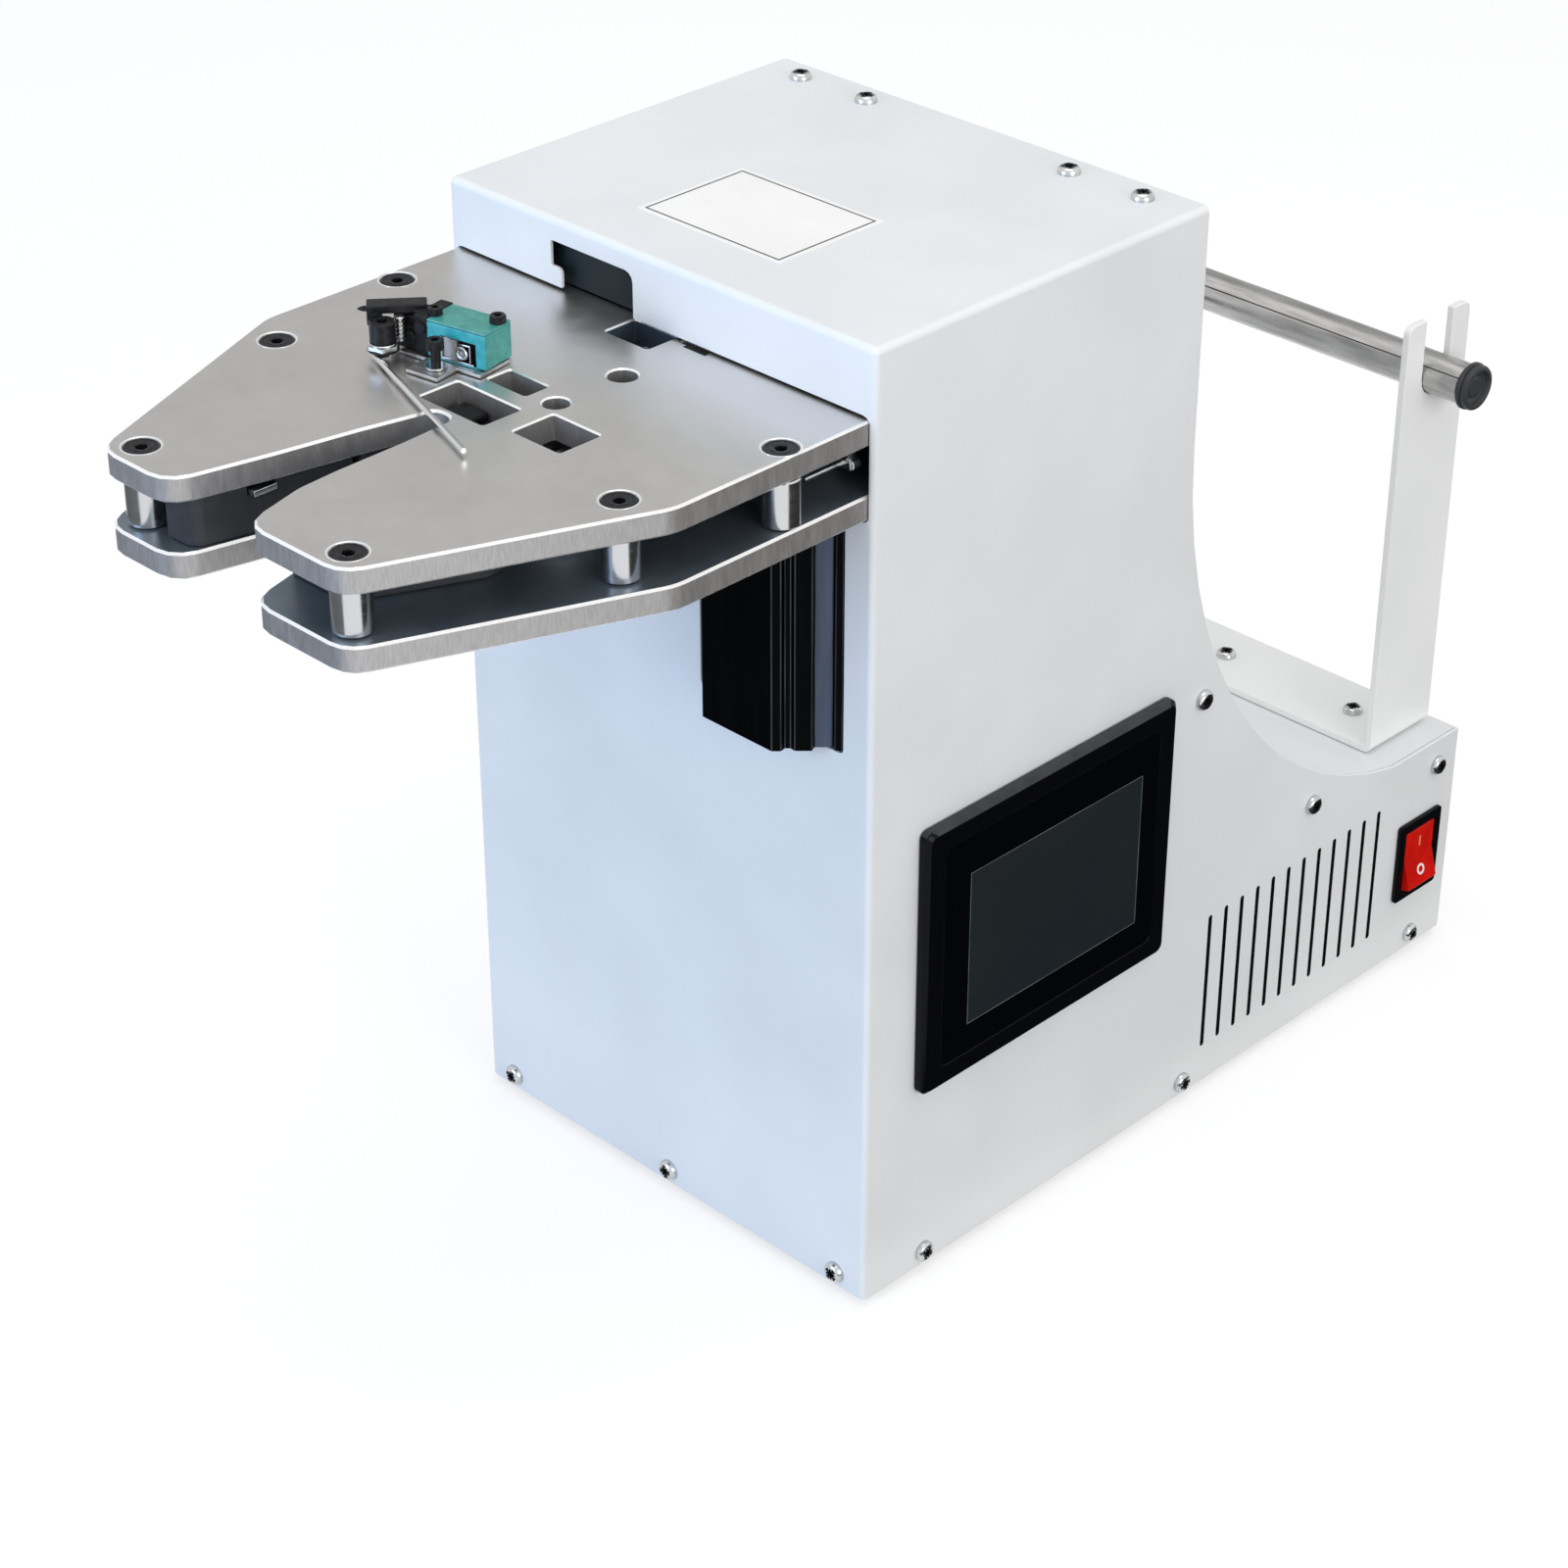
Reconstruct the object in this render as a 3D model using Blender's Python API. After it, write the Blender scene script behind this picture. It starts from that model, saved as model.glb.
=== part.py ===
"""Countertop twist tie machine, modelled as the separate pieces it is assembled from.

The machine's own frame has X to the right, Y to the back and Z up. X = 0 is its middle,
Y = 0 the front face of the housing and Z = 0 the housing's lower edge. An empty carries that
frame, so that the world's origin lies on the ground under the middle of the machine.
"""

import math

import bmesh
import bpy

MM = 0.001

# Shared clearances
SEAT = 0.3 * MM
RUN_GAP = 0.3 * MM
OVERRUN = 2 * MM

# Housing
HOUSING_WIDTH = 200 * MM
HOUSING_HEIGHT = 372 * MM
HEAD_DEPTH = 161 * MM
BASE_DEPTH = 344 * MM
SHEET = 1.5 * MM
BEND_RADIUS = 2.5 * MM
SEAT_LEVEL = 94.6 * MM
SEAT_LENGTH = 43 * MM
CURVE_BELOW_TOP = 90 * MM
CURVE_DROP_SHARE = 1.014
COVER_FLANGE = 16 * MM
COVER_LIP = 21 * MM
TRAY_RIM = 12 * MM
HALF_WIDTH = HOUSING_WIDTH / 2
INNER_HALF = HALF_WIDTH - SHEET
SEAT_FRONT = BASE_DEPTH - SEAT_LENGTH
CURVE_TOP = HOUSING_HEIGHT - CURVE_BELOW_TOP

# Feet
FOOT_HEIGHT = 3 * MM
FOOT_RADIUS = 10 * MM
FOOT_TAPER = 1.5 * MM
FOOT_INSET = 22 * MM

# Deck: two plates with a V mouth, reaching out of the front
BAND_HEIGHT = 24 * MM
WINDOW_GAP = 1 * MM
WINDOW_SIDE = 2.5 * MM
WINDOW_RADIUS = 3 * MM
PLATE_THICK = 9 * MM
PLATE_GAP = 17 * MM
PLATE_CHAMFER = 0.8 * MM
DECK_SIDE_GAP = 1.5 * MM
DECK_REACH = 179 * MM
DECK_REAR = 112 * MM
WINDOW_TOP = HOUSING_HEIGHT - BAND_HEIGHT
DECK_TOP = WINDOW_TOP - WINDOW_GAP
UPPER_LEVEL = DECK_TOP - PLATE_THICK
LOWER_TOP = UPPER_LEVEL - PLATE_GAP
LOWER_LEVEL = LOWER_TOP - PLATE_THICK
MID_LEVEL = (LOWER_TOP + UPPER_LEVEL) / 2
DECK_HALF = INNER_HALF - DECK_SIDE_GAP
JAW_BEND_SHARE = 0.464
JAW_TIP_SHARE = 0.593
JAW_BEND_RADIUS = 20 * MM
JAW_TIP_RADIUS = 11 * MM
MOUTH_DEPTH = 90.5 * MM
MOUTH_LEFT = 24.4 * MM
MOUTH_RIGHT = 13.6 * MM
MOUTH_BOTTOM_RADIUS = 4.3 * MM
MOUTH_BOTTOM = MOUTH_DEPTH - DECK_REACH
MOUTH_EDGE_RADIUS = 25 * MM
LEFT_EDGE_SHARES = ((0.22, 0.0), (0.25, 0.07), (0.44, 0.29), (0.66, 0.60))
RIGHT_EDGE_SHARES = ((0.28, 0.0), (0.38, 0.24), (0.42, 0.55), (0.50, 0.72))
SPACER_SHARES = ((0.933, 0.179), (0.835, 0.508), (0.510, 0.944))
SPACER_RADIUS = 6.5 * MM
PLATE_SCREW_HEAD = 6 * MM
PLATE_SCREW_STEM = 3 * MM
PLATE_SCREW_SINK = 3.2 * MM
PLATE_SCREW_SOCKET = 2.2 * MM
PLATE_SCREW_ABOVE = 1.7 * MM

# Windows of the upper plate: left, right, front, rear
HEAD_WINDOW_WALL = 2.5 * MM
HEAD_WINDOW_LENGTH = 16 * MM
HEAD_WINDOW_FRONT = MOUTH_BOTTOM + HEAD_WINDOW_WALL
HEAD_WINDOW_REAR = HEAD_WINDOW_FRONT + HEAD_WINDOW_LENGTH
HEAD_WINDOW = (-16 * MM, 14 * MM, HEAD_WINDOW_FRONT, HEAD_WINDOW_REAR)
SHAFT_WINDOW_GAP = 7.4 * MM
SHAFT_WINDOW_LENGTH = 10 * MM
SHAFT_WINDOW_FRONT = HEAD_WINDOW_REAR + SHAFT_WINDOW_GAP
SHAFT_WINDOW_REAR = SHAFT_WINDOW_FRONT + SHAFT_WINDOW_LENGTH
SHAFT_WINDOW = (-10.5 * MM, 7.7 * MM, SHAFT_WINDOW_FRONT, SHAFT_WINDOW_REAR)
TIE_WINDOW_GAP = 6.2 * MM
TIE_WINDOW_LENGTH = 17.3 * MM
TIE_WINDOW_FRONT = MOUTH_BOTTOM + TIE_WINDOW_GAP
TIE_WINDOW = (23.5 * MM, 45.2 * MM, TIE_WINDOW_FRONT, TIE_WINDOW_FRONT + TIE_WINDOW_LENGTH)
REAR_WINDOW = (-10.6 * MM, 9.5 * MM, -11.5 * MM, 2 * MM)
REAR_SLOT = (13 * MM, 25 * MM, 0 * MM, 3 * MM)
WINDOW_CORNER = 1 * MM
REAR_HOLE_RADIUS = 5.1 * MM
REAR_HOLE_Y = -30.7 * MM
FRONT_HOLE_RADIUS = 4.5 * MM
FRONT_HOLE_GAP = 29.3 * MM
FRONT_HOLE_Y = MOUTH_BOTTOM + FRONT_HOLE_GAP

# Notch in the housing's band over the deck
NOTCH_LEFT = -49 * MM
NOTCH_RIGHT = -9.5 * MM
NOTCH_HEIGHT = 16 * MM
NOTCH_RADIUS = 3.5 * MM
NOTCH_TAB = 5 * MM
NOTCH_TAB_HEIGHT = 7 * MM
NOTCH_TAB_RADIUS = 2 * MM

# Feed motor under the deck, and its roller
MOTOR_WIDTH = 65.5 * MM
MOTOR_CORNER = 16.5 * MM
MOTOR_HEIGHT = 88.3 * MM
MOTOR_PROUD = 16 * MM
MOTOR_SIDE_INSET = 10.45 * MM
MOTOR_CUT_GAP = 0.7 * MM
MOTOR_CUT_BELOW = 1 * MM
MOTOR_CUT_RADIUS = 2 * MM
FIN_GROOVES = 2
FIN_GROOVE_WIDTH = 3 * MM
FIN_GROOVE_DEPTH = 2.2 * MM
FEED_SHAFT_RADIUS = 4 * MM
FEED_SHAFT_HOLE = 6 * MM
FEED_ROLLER_RADIUS = 14.2 * MM
FEED_ROLLER_HEIGHT = 14.5 * MM
MOTOR_X = DECK_HALF - MOTOR_SIDE_INSET - MOTOR_WIDTH / 2
MOTOR_Y = MOTOR_WIDTH / 2 - MOTOR_PROUD

# Pressure roller on its sprung arm
PRESS_RADIUS = 9 * MM
PRESS_HEIGHT = 11 * MM
PRESS_X = MOTOR_X - FEED_ROLLER_RADIUS - RUN_GAP - PRESS_RADIUS
ARM_OFFSET_X = 4.3 * MM
ARM_OFFSET_Y = 27.2 * MM
ARM_THICK = 3 * MM
ARM_EYE = 6 * MM
ARM_PIN_RADIUS = 3 * MM
ARM_PIN_HEAD = 5 * MM
ARM_PIN_HEAD_HEIGHT = 3 * MM
ARM_X = PRESS_X - ARM_OFFSET_X
ARM_Y = MOTOR_Y + ARM_OFFSET_Y
TIE_X = PRESS_X + PRESS_RADIUS + RUN_GAP / 2

# Guide blocks between the plates, with the channel for the tie
GUIDE_SET_BACK = 1.5 * MM
GUIDE_TO_BOTTOM = 9.5 * MM
GUIDE_LEFT_FROM_TIP = 8 * MM
GUIDE_LEFT_OUTER_SHARE = 0.3814
GUIDE_LEFT_OUTER = -GUIDE_LEFT_OUTER_SHARE * DECK_HALF
GUIDE_LEFT_RADIUS = 6 * MM
GUIDE_RIGHT_FROM_TIP = 19 * MM
GUIDE_REAR = MOUTH_BOTTOM - GUIDE_TO_BOTTOM
GUIDE_LEFT_FRONT = GUIDE_LEFT_FROM_TIP - DECK_REACH
GUIDE_RIGHT_FRONT = GUIDE_RIGHT_FROM_TIP - DECK_REACH
GUIDE_RIGHT_SHARES = ((0.52, 1.0), (0.71, 0.91), (1.0, 0.36), (1.0, 0.26), (0.86, 0.0))
GUIDE_RIGHT_OUTER_SHARE = 0.5515
GUIDE_RIGHT_OUTER = GUIDE_RIGHT_OUTER_SHARE * DECK_HALF
CHANNEL_WIDTH = 3 * MM
CHANNEL_DEPTH = 10.5 * MM
CHANNEL_FROM_REAR = 17 * MM
CHANNEL_Y = GUIDE_REAR - CHANNEL_FROM_REAR
CHANNEL_BEND_RIGHT = 16 * MM
CHANNEL_BEND_LEFT = 10 * MM
CHANNEL_RUN_LEFT = 4 * MM
FINGER_FROM_TIP = 27 * MM
FINGER_FRONT = FINGER_FROM_TIP - DECK_REACH
FINGER_LENGTH = 9 * MM
FINGER_HEIGHT = 2 * MM
FINGER_DEPTH = 7 * MM
FINGER_PROUD = 1 * MM
FINGER_DROP = 1 * MM

# Cutter
CUTTER_X = 18.3 * MM
SOLENOID_WIDTH = 18 * MM
SOLENOID_HEIGHT = 15.4 * MM
SOLENOID_REAR = 0 * MM
SOLENOID_BORE = 2.8 * MM
SOLENOID_BORE_SHARE = 0.6
PLUNGER_RADIUS = 2.4 * MM
PLUNGER_INSERT_SHARE = 0.525
PLUNGER_FREE = 12 * MM
BLADE_BAR_WIDTH = 8 * MM
BLADE_BAR_LENGTH = 32 * MM
BLADE_THICK = 2 * MM
BLADE_HEIGHT = 4 * MM
BLADE_X = 9.3 * MM
BLADE_ELBOW_TO_GUIDE = 14 * MM
BLADE_TIP_TO_CHANNEL = 5 * MM
BLADE_ELBOW_Y = GUIDE_REAR + BLADE_ELBOW_TO_GUIDE
BLADE_TIP_Y = CHANNEL_Y + BLADE_TIP_TO_CHANNEL
BLADE_BAR_REAR = BLADE_ELBOW_Y + BLADE_BAR_LENGTH
SOLENOID_FRONT = BLADE_BAR_REAR + PLUNGER_FREE
SOLENOID_LENGTH = SOLENOID_REAR - SOLENOID_FRONT
BLADE_SLOT_REACH = 12 * MM

# Twister spindle along Y in the middle of the gap
HEAD_RADIUS = 7.5 * MM
HEAD_TO_MOUTH = 4.5 * MM
HEAD_FRONT = MOUTH_BOTTOM + HEAD_TO_MOUTH
HEAD_LENGTH = 10 * MM
HEAD_SLOT = 3 * MM
HEAD_SLOT_DEPTH = 5 * MM
SPINDLE_RADIUS = 4 * MM
BEARING_HALF = 8 * MM
BEARING_TO_HEAD = 26 * MM
BEARING_LENGTH = 26 * MM
BEARING_FRONT = HEAD_FRONT + HEAD_LENGTH + BEARING_TO_HEAD

# Twister drive behind the deck
MOTOR_PLATE_THICK = 6 * MM
MOTOR_PLATE_WIDTH = 60 * MM
MOTOR_PLATE_BELOW = 50 * MM
GEAR_MODULE = 1.5 * MM
GEAR_WIDTH = 8 * MM
SPINDLE_TEETH = 20
DRIVE_TEETH = 32
GEAR_BACKLASH_SHARE = 0.12
GEAR_ROOT_SHARE = 1.25
GEAR_PRESSURE = math.radians(20)
GEAR_GAP = 1 * MM
GEAR_BORE_GAP = 0.3 * MM
TWIST_MOTOR_RADIUS = 18 * MM
TWIST_MOTOR_LENGTH = 50 * MM
TWIST_SHAFT_RADIUS = 3 * MM
TWIST_SHAFT_HOLE = 5 * MM

# Limit switch on the upper plate, turned a little about Z
SWITCH_X = -26 * MM
SWITCH_GAP = 30.5 * MM
SWITCH_Y = MOUTH_BOTTOM + SWITCH_GAP
SWITCH_TURN = math.radians(9)
SWITCH_LENGTH = 27 * MM
SWITCH_WIDTH = 14 * MM
SWITCH_HEIGHT = 13 * MM
SWITCH_EDGE = 1 * MM
BRACKET_SHEET = 1.2 * MM
BRACKET_LEFT = 20 * MM
BRACKET_EDGE = 2 * MM
BRACKET_TAB_REACH = 12 * MM
BRACKET_TAB_LEFT = 9 * MM
BRACKET_TAB_WIDTH = 13 * MM
SWITCH_HEAD_LENGTH = 12 * MM
SWITCH_HEAD_WIDTH = 12.5 * MM
SWITCH_HEAD_HEIGHT = 11.5 * MM
LEVER_FROM_BODY = 4.5 * MM
LEVER_ASIDE = -1.7 * MM
LEVER_THICK = 3 * MM
LEVER_HUB = 4.5 * MM
LEVER_TIP = 3 * MM
LEVER_TIP_REACH = 19.5 * MM
LEVER_TURN = math.radians(-6.3)
POST_REACH = 13.6 * MM
POST_STEM = 1.8 * MM
POST_BOSS = 4.3 * MM
POST_BOSS_HEIGHT = 7.2 * MM
POST_WASHER = 5 * MM
POST_WASHER_HEIGHT = 1 * MM
POST_NUT = 4.4 * MM
POST_NUT_HEIGHT = 1.6 * MM
POST_CAP = 2.8 * MM
POST_CAP_HEIGHT = 1.2 * MM
POST_EYE_GAP = 0.3 * MM
POST_FLOOR_GAP = 1 * MM
TRIGGER_RADIUS = 1.1 * MM
TRIGGER_TURN = math.radians(-19.5)
TRIGGER_BACK = 3 * MM
TRIGGER_LENGTH = 80.5 * MM

# Touch screen on the right side
SCREEN_FRONT = 24 * MM
SCREEN_BOTTOM = 79.5 * MM
SCREEN_LENGTH = 131 * MM
SCREEN_HEIGHT = 108 * MM
SCREEN_PROUD = 5 * MM
SCREEN_RADIUS = 3 * MM
SCREEN_BEVEL = 1.5 * MM
SCREEN_FRAME = 9 * MM
SCREEN_GLASS_DEPTH = 1.6 * MM
SCREEN_BODY_INSET = 7 * MM
SCREEN_BODY_DEPTH = 30 * MM
SCREEN_HOLE_GAP = 1 * MM

# Rocker switch
ROCKER_LENGTH = 27 * MM
ROCKER_HEIGHT = 35.7 * MM
ROCKER_BOTTOM = 27.5 * MM
ROCKER_REAR_INSET = 9 * MM
ROCKER_PROUD = 2 * MM
ROCKER_RIM = 4 * MM
ROCKER_RADIUS = 1.5 * MM
ROCKER_WELL_RADIUS = 0.6 * MM
ROCKER_BODY_INSET = 1.5 * MM
ROCKER_BODY_DEPTH = 22 * MM
ROCKER_WELL = 9 * MM
ROCKER_TILT = math.radians(8)
ROCKER_AXIS_DEPTH = 3 * MM
ROCKER_BELLY = 4 * MM
ROCKER_END = 1 * MM
ROCKER_SIDE_GAP = 0.4 * MM
ROCKER_FLANGE_GAP = 1 * MM

# Vent slots beside the rocker
VENT_COUNT = 12
VENT_PITCH = 9.55 * MM
VENT_WIDTH = 2 * MM
VENT_BOTTOM = 17 * MM
VENT_HEIGHT = 60 * MM
VENT_TO_ROCKER = 14 * MM

# Reel holder
REEL_SHEET = 3 * MM
REEL_ARM_INSET = 12 * MM
REEL_ARM_X = HALF_WIDTH - REEL_ARM_INSET
REEL_ARM_RISE = 180.6 * MM
REEL_REAR_MARGIN = 4.5 * MM
REEL_BEND_RADIUS = 4 * MM
PRONG_RADIUS = 4 * MM
ROD_RADIUS = 8 * MM
ROD_WALL = 1.5 * MM
ROD_BELOW_TOP = 24 * MM
ROD_OVERHANG = 15 * MM
CAP_RADIUS = 9.2 * MM
CAP_LENGTH = 5 * MM
CAP_PLUG = 10 * MM
CAP_ROUND = 1.2 * MM

# Electrics and inlets
INLET_FROM_SIDE = 40 * MM
INLET_X = INLET_FROM_SIDE - HALF_WIDTH
INLET_Z = 42 * MM
INLET_WIDTH = 48 * MM
INLET_HEIGHT = 27 * MM
INLET_PROUD = 3 * MM
INLET_BODY_INSET = 3 * MM
INLET_BODY_WIDTH = 28 * MM
INLET_DEPTH = 24 * MM
INLET_WALL = 2 * MM
INLET_FLOOR = 4 * MM
PIN_WIDTH = 2 * MM
PIN_HEIGHT = 4 * MM
PIN_PITCH = 7 * MM
PIN_LENGTH = 10 * MM
PIN_RAISE = 2 * MM
SUPPLY_WIDTH = 98 * MM
SUPPLY_LENGTH = 115 * MM
SUPPLY_HEIGHT = 40 * MM
SUPPLY_TO_REAR = 57 * MM
SUPPLY_STEP = 12 * MM
CONTROL_SIDE_GAP = 10.5 * MM
CONTROL_LENGTH = 100 * MM
CONTROL_HEIGHT = 32 * MM
CONTROL_TO_REAR = 64 * MM
CONTROL_STEP = 9 * MM
DRIVER_SIDE_GAP = 6.5 * MM
DRIVER_WIDTH = 20 * MM
DRIVER_LENGTH = 70 * MM
DRIVER_HEIGHT = 60 * MM
DRIVER_FRONT = 14 * MM
DRIVER_GAP = 6 * MM
BOX_GAP = 1 * MM
DRIVER_X = DRIVER_SIDE_GAP + DRIVER_WIDTH / 2 - INNER_HALF
SUPPLY_X = DRIVER_X + DRIVER_WIDTH / 2 + BOX_GAP + SUPPLY_WIDTH / 2
CONTROL_LEFT = SUPPLY_X + SUPPLY_WIDTH / 2 + BOX_GAP
CONTROL_WIDTH = INNER_HALF - CONTROL_SIDE_GAP - CONTROL_LEFT
CONTROL_X = CONTROL_LEFT + CONTROL_WIDTH / 2
EYELET_BORE = 4.5 * MM
EYELET_NECK = 7 * MM
EYELET_FLANGE = 10 * MM
EYELET_PROUD = 2 * MM
EYELET_INSIDE = 8 * MM

# Uprights between the tray and the deck
UPRIGHT_SHARE = 0.5773
UPRIGHT_X = UPRIGHT_SHARE * DECK_HALF
UPRIGHT_THICK = 4 * MM
UPRIGHT_FLANGE = 20 * MM
UPRIGHT_DEPTH = 44 * MM
UPRIGHT_REAR_INSET = 7 * MM

# Roundness of the faceted solids
ROUND_STEPS = 24
FINE_STEPS = 16
CORNER_STEPS = 3
CURVE_STEPS = 14


def clear_scene():
    """Removes whatever the file holds, so that the model stands alone."""
    for thing in list(bpy.data.objects):
        bpy.data.objects.remove(thing, do_unlink=True)


def paint(name, colour, roughness, metallic=0.0):
    """Returns a Principled material of one colour."""
    made = bpy.data.materials.new(name)
    made.use_nodes = True
    shader = made.node_tree.nodes["Principled BSDF"]
    shader.inputs["Base Color"].default_value = (*colour, 1.0)
    shader.inputs["Roughness"].default_value = roughness
    shader.inputs["Metallic"].default_value = metallic
    made.diffuse_color = (*colour, 1.0)
    return made


def empty(name, at, parent=None, turn=0.0):
    """Returns an empty that carries a frame of its own."""
    frame = bpy.data.objects.new(name, None)
    bpy.context.collection.objects.link(frame)
    frame.location = at
    frame.rotation_euler = (0, 0, turn)
    frame.parent = parent
    return frame


def circle(radius, steps=ROUND_STEPS, centre=(0, 0)):
    """Returns the points of a circle, in the plane of an outline."""
    turns = [2 * math.pi * (i + 0.5) / steps for i in range(steps)]
    return [(centre[0] + radius * math.cos(t), centre[1] + radius * math.sin(t)) for t in turns]


def arc(centre, radius, start, end, steps):
    """Returns the points of an arc, its two ends included."""
    turns = [start + (end - start) * i / steps for i in range(steps + 1)]
    return [(centre[0] + radius * math.cos(t), centre[1] + radius * math.sin(t)) for t in turns]


def rounded(corners, steps=CORNER_STEPS):
    """Returns an outline whose corners (a, b, radius) are rounded where a radius is given."""
    points = []
    count = len(corners)
    for i, (a, b, radius) in enumerate(corners):
        before = corners[i - 1]
        after = corners[(i + 1) % count]
        u = (before[0] - a, before[1] - b)
        v = (after[0] - a, after[1] - b)
        lu = math.hypot(*u)
        lv = math.hypot(*v)
        u = (u[0] / lu, u[1] / lu)
        v = (v[0] / lv, v[1] / lv)
        half = math.acos(max(-1, min(1, u[0] * v[0] + u[1] * v[1]))) / 2
        straight = math.pi / 2 - half < math.radians(1)
        if radius == 0 or straight:
            points.append((a, b))
            continue
        trim = min(radius / math.tan(half), lu / 2, lv / 2)
        radius = trim * math.tan(half)
        mid = (u[0] + v[0], u[1] + v[1])
        ml = math.hypot(*mid)
        away = radius / math.sin(half)
        centre = (a + mid[0] / ml * away, b + mid[1] / ml * away)
        first = math.atan2(b + u[1] * trim - centre[1], a + u[0] * trim - centre[0])
        last = math.atan2(b + v[1] * trim - centre[1], a + v[0] * trim - centre[0])
        sweep = (last - first + math.pi) % (2 * math.pi) - math.pi
        points += arc(centre, radius, first, first + sweep, steps)
    return points


def rect(a0, a1, b0, b1, radius=0.0):
    """Returns a rectangle's outline, with rounded corners where a radius is given."""
    return rounded([(a0, b0, radius), (a1, b0, radius), (a1, b1, radius), (a0, b1, radius)])


def shift(outline, a, b):
    """Moves an outline in its plane."""
    return [(p[0] + a, p[1] + b) for p in outline]


def placed(outline, level, axis):
    """Lays an outline at a level along the axis that it faces."""
    if axis == "X":
        return [(level, p[0], p[1]) for p in outline]
    if axis == "Y":
        return [(p[0], level, p[1]) for p in outline]
    return [(p[0], p[1], level) for p in outline]


def loft(rings, loop=False):
    """Bridges rings with as many points each, and closes the ends unless they form a loop."""
    mesh = bmesh.new()
    made = [[mesh.verts.new(p) for p in ring] for ring in rings]
    pairs = list(zip(made, made[1:]))
    if loop:
        pairs.append((made[-1], made[0]))
    else:
        mesh.faces.new(made[0])
        mesh.faces.new(made[-1])
    for low, high in pairs:
        count = len(low)
        for i in range(count):
            j = (i + 1) % count
            mesh.faces.new((low[i], low[j], high[j], high[i]))
    bmesh.ops.recalc_face_normals(mesh, faces=mesh.faces)
    return mesh


def prism(outline, low, high, axis="Z"):
    """Extrudes an outline between two levels along the axis that it faces."""
    return loft([placed(outline, low, axis), placed(outline, high, axis)])


def turned(profile, axis="Z", steps=ROUND_STEPS, loop=False, centre=(0, 0)):
    """Turns a profile of (radius, level) pairs about an axis."""
    rings = [placed(circle(r, steps, centre), level, axis) for r, level in profile]
    return loft(rings, loop)


def piece(name, mesh, finish, parent, at=(0, 0, 0), turn=0.0, smooth=False):
    """Makes one object of a mesh, in its own place under a parent."""
    data = bpy.data.meshes.new(name)
    mesh.to_mesh(data)
    mesh.free()
    data.materials.append(finish)
    if smooth:
        data.shade_smooth()
        data.set_sharp_from_angle(angle=math.radians(35))
    made = bpy.data.objects.new(name, data)
    bpy.context.collection.objects.link(made)
    made.location = at
    made.rotation_euler = (0, 0, turn)
    made.parent = parent
    return made


def cut(target, meshes):
    """Cuts meshes, given in the target's own frame, out of the target."""
    joined = bmesh.new()
    for mesh in meshes:
        data = bpy.data.meshes.new("cut")
        mesh.to_mesh(data)
        mesh.free()
        joined.from_mesh(data)
        bpy.data.meshes.remove(data)
    data = bpy.data.meshes.new(target.name + "_cutter")
    joined.to_mesh(data)
    joined.free()
    tool = bpy.data.objects.new(target.name + "_cutter", data)
    bpy.context.collection.objects.link(tool)
    tool.parent = target
    tool.hide_render = True
    tool.display_type = "WIRE"
    step = target.modifiers.new("cut", "BOOLEAN")
    step.operation = "DIFFERENCE"
    step.solver = "EXACT"
    step.use_self = True
    step.object = tool


def join(target, mesh):
    """Unites a mesh, given in the target's own frame, with the target."""
    data = bpy.data.meshes.new(target.name + "_more")
    mesh.to_mesh(data)
    mesh.free()
    more = bpy.data.objects.new(target.name + "_more", data)
    bpy.context.collection.objects.link(more)
    more.parent = target
    more.hide_render = True
    more.display_type = "WIRE"
    step = target.modifiers.new("join", "BOOLEAN")
    step.operation = "UNION"
    step.solver = "EXACT"
    step.object = more


def chamfer(target, width):
    """Takes a narrow bevel off the sharp edges of a solid."""
    step = target.modifiers.new("chamfer", "BEVEL")
    step.width = width
    step.segments = 1
    step.limit_method = "ANGLE"
    step.angle_limit = math.radians(40)


def offset_path(path, distance):
    """Moves an open path to its right by a distance, with mitred corners."""
    sides = []
    for (a0, b0), (a1, b1) in zip(path, path[1:]):
        length = math.hypot(a1 - a0, b1 - b0)
        sides.append(((b1 - b0) / length, (a0 - a1) / length))
    moved = []
    for (a, b), first, last in zip(path, [sides[0], *sides], [*sides, sides[-1]]):
        na, nb = first[0] + last[0], first[1] + last[1]
        scale = distance * 2 / (na * na + nb * nb)
        moved.append((a + na * scale, b + nb * scale))
    return moved


def rear_path(under=0.0):
    """Returns the housing's rear line in the Y, Z plane, from its top or under it, downwards."""
    drop = (CURVE_TOP - SEAT_LEVEL) * CURVE_DROP_SHARE
    end = math.asin((CURVE_TOP - SEAT_LEVEL) / drop)
    run = (SEAT_FRONT - HEAD_DEPTH) / (1 - math.cos(end))
    turns = [end * i / CURVE_STEPS for i in range(CURVE_STEPS + 1)]
    curve = [(HEAD_DEPTH + run * (1 - math.cos(t)), CURVE_TOP - drop * math.sin(t)) for t in turns]
    return [(HEAD_DEPTH, HOUSING_HEIGHT - under), *curve, (BASE_DEPTH, SEAT_LEVEL), (BASE_DEPTH, 0)]


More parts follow.
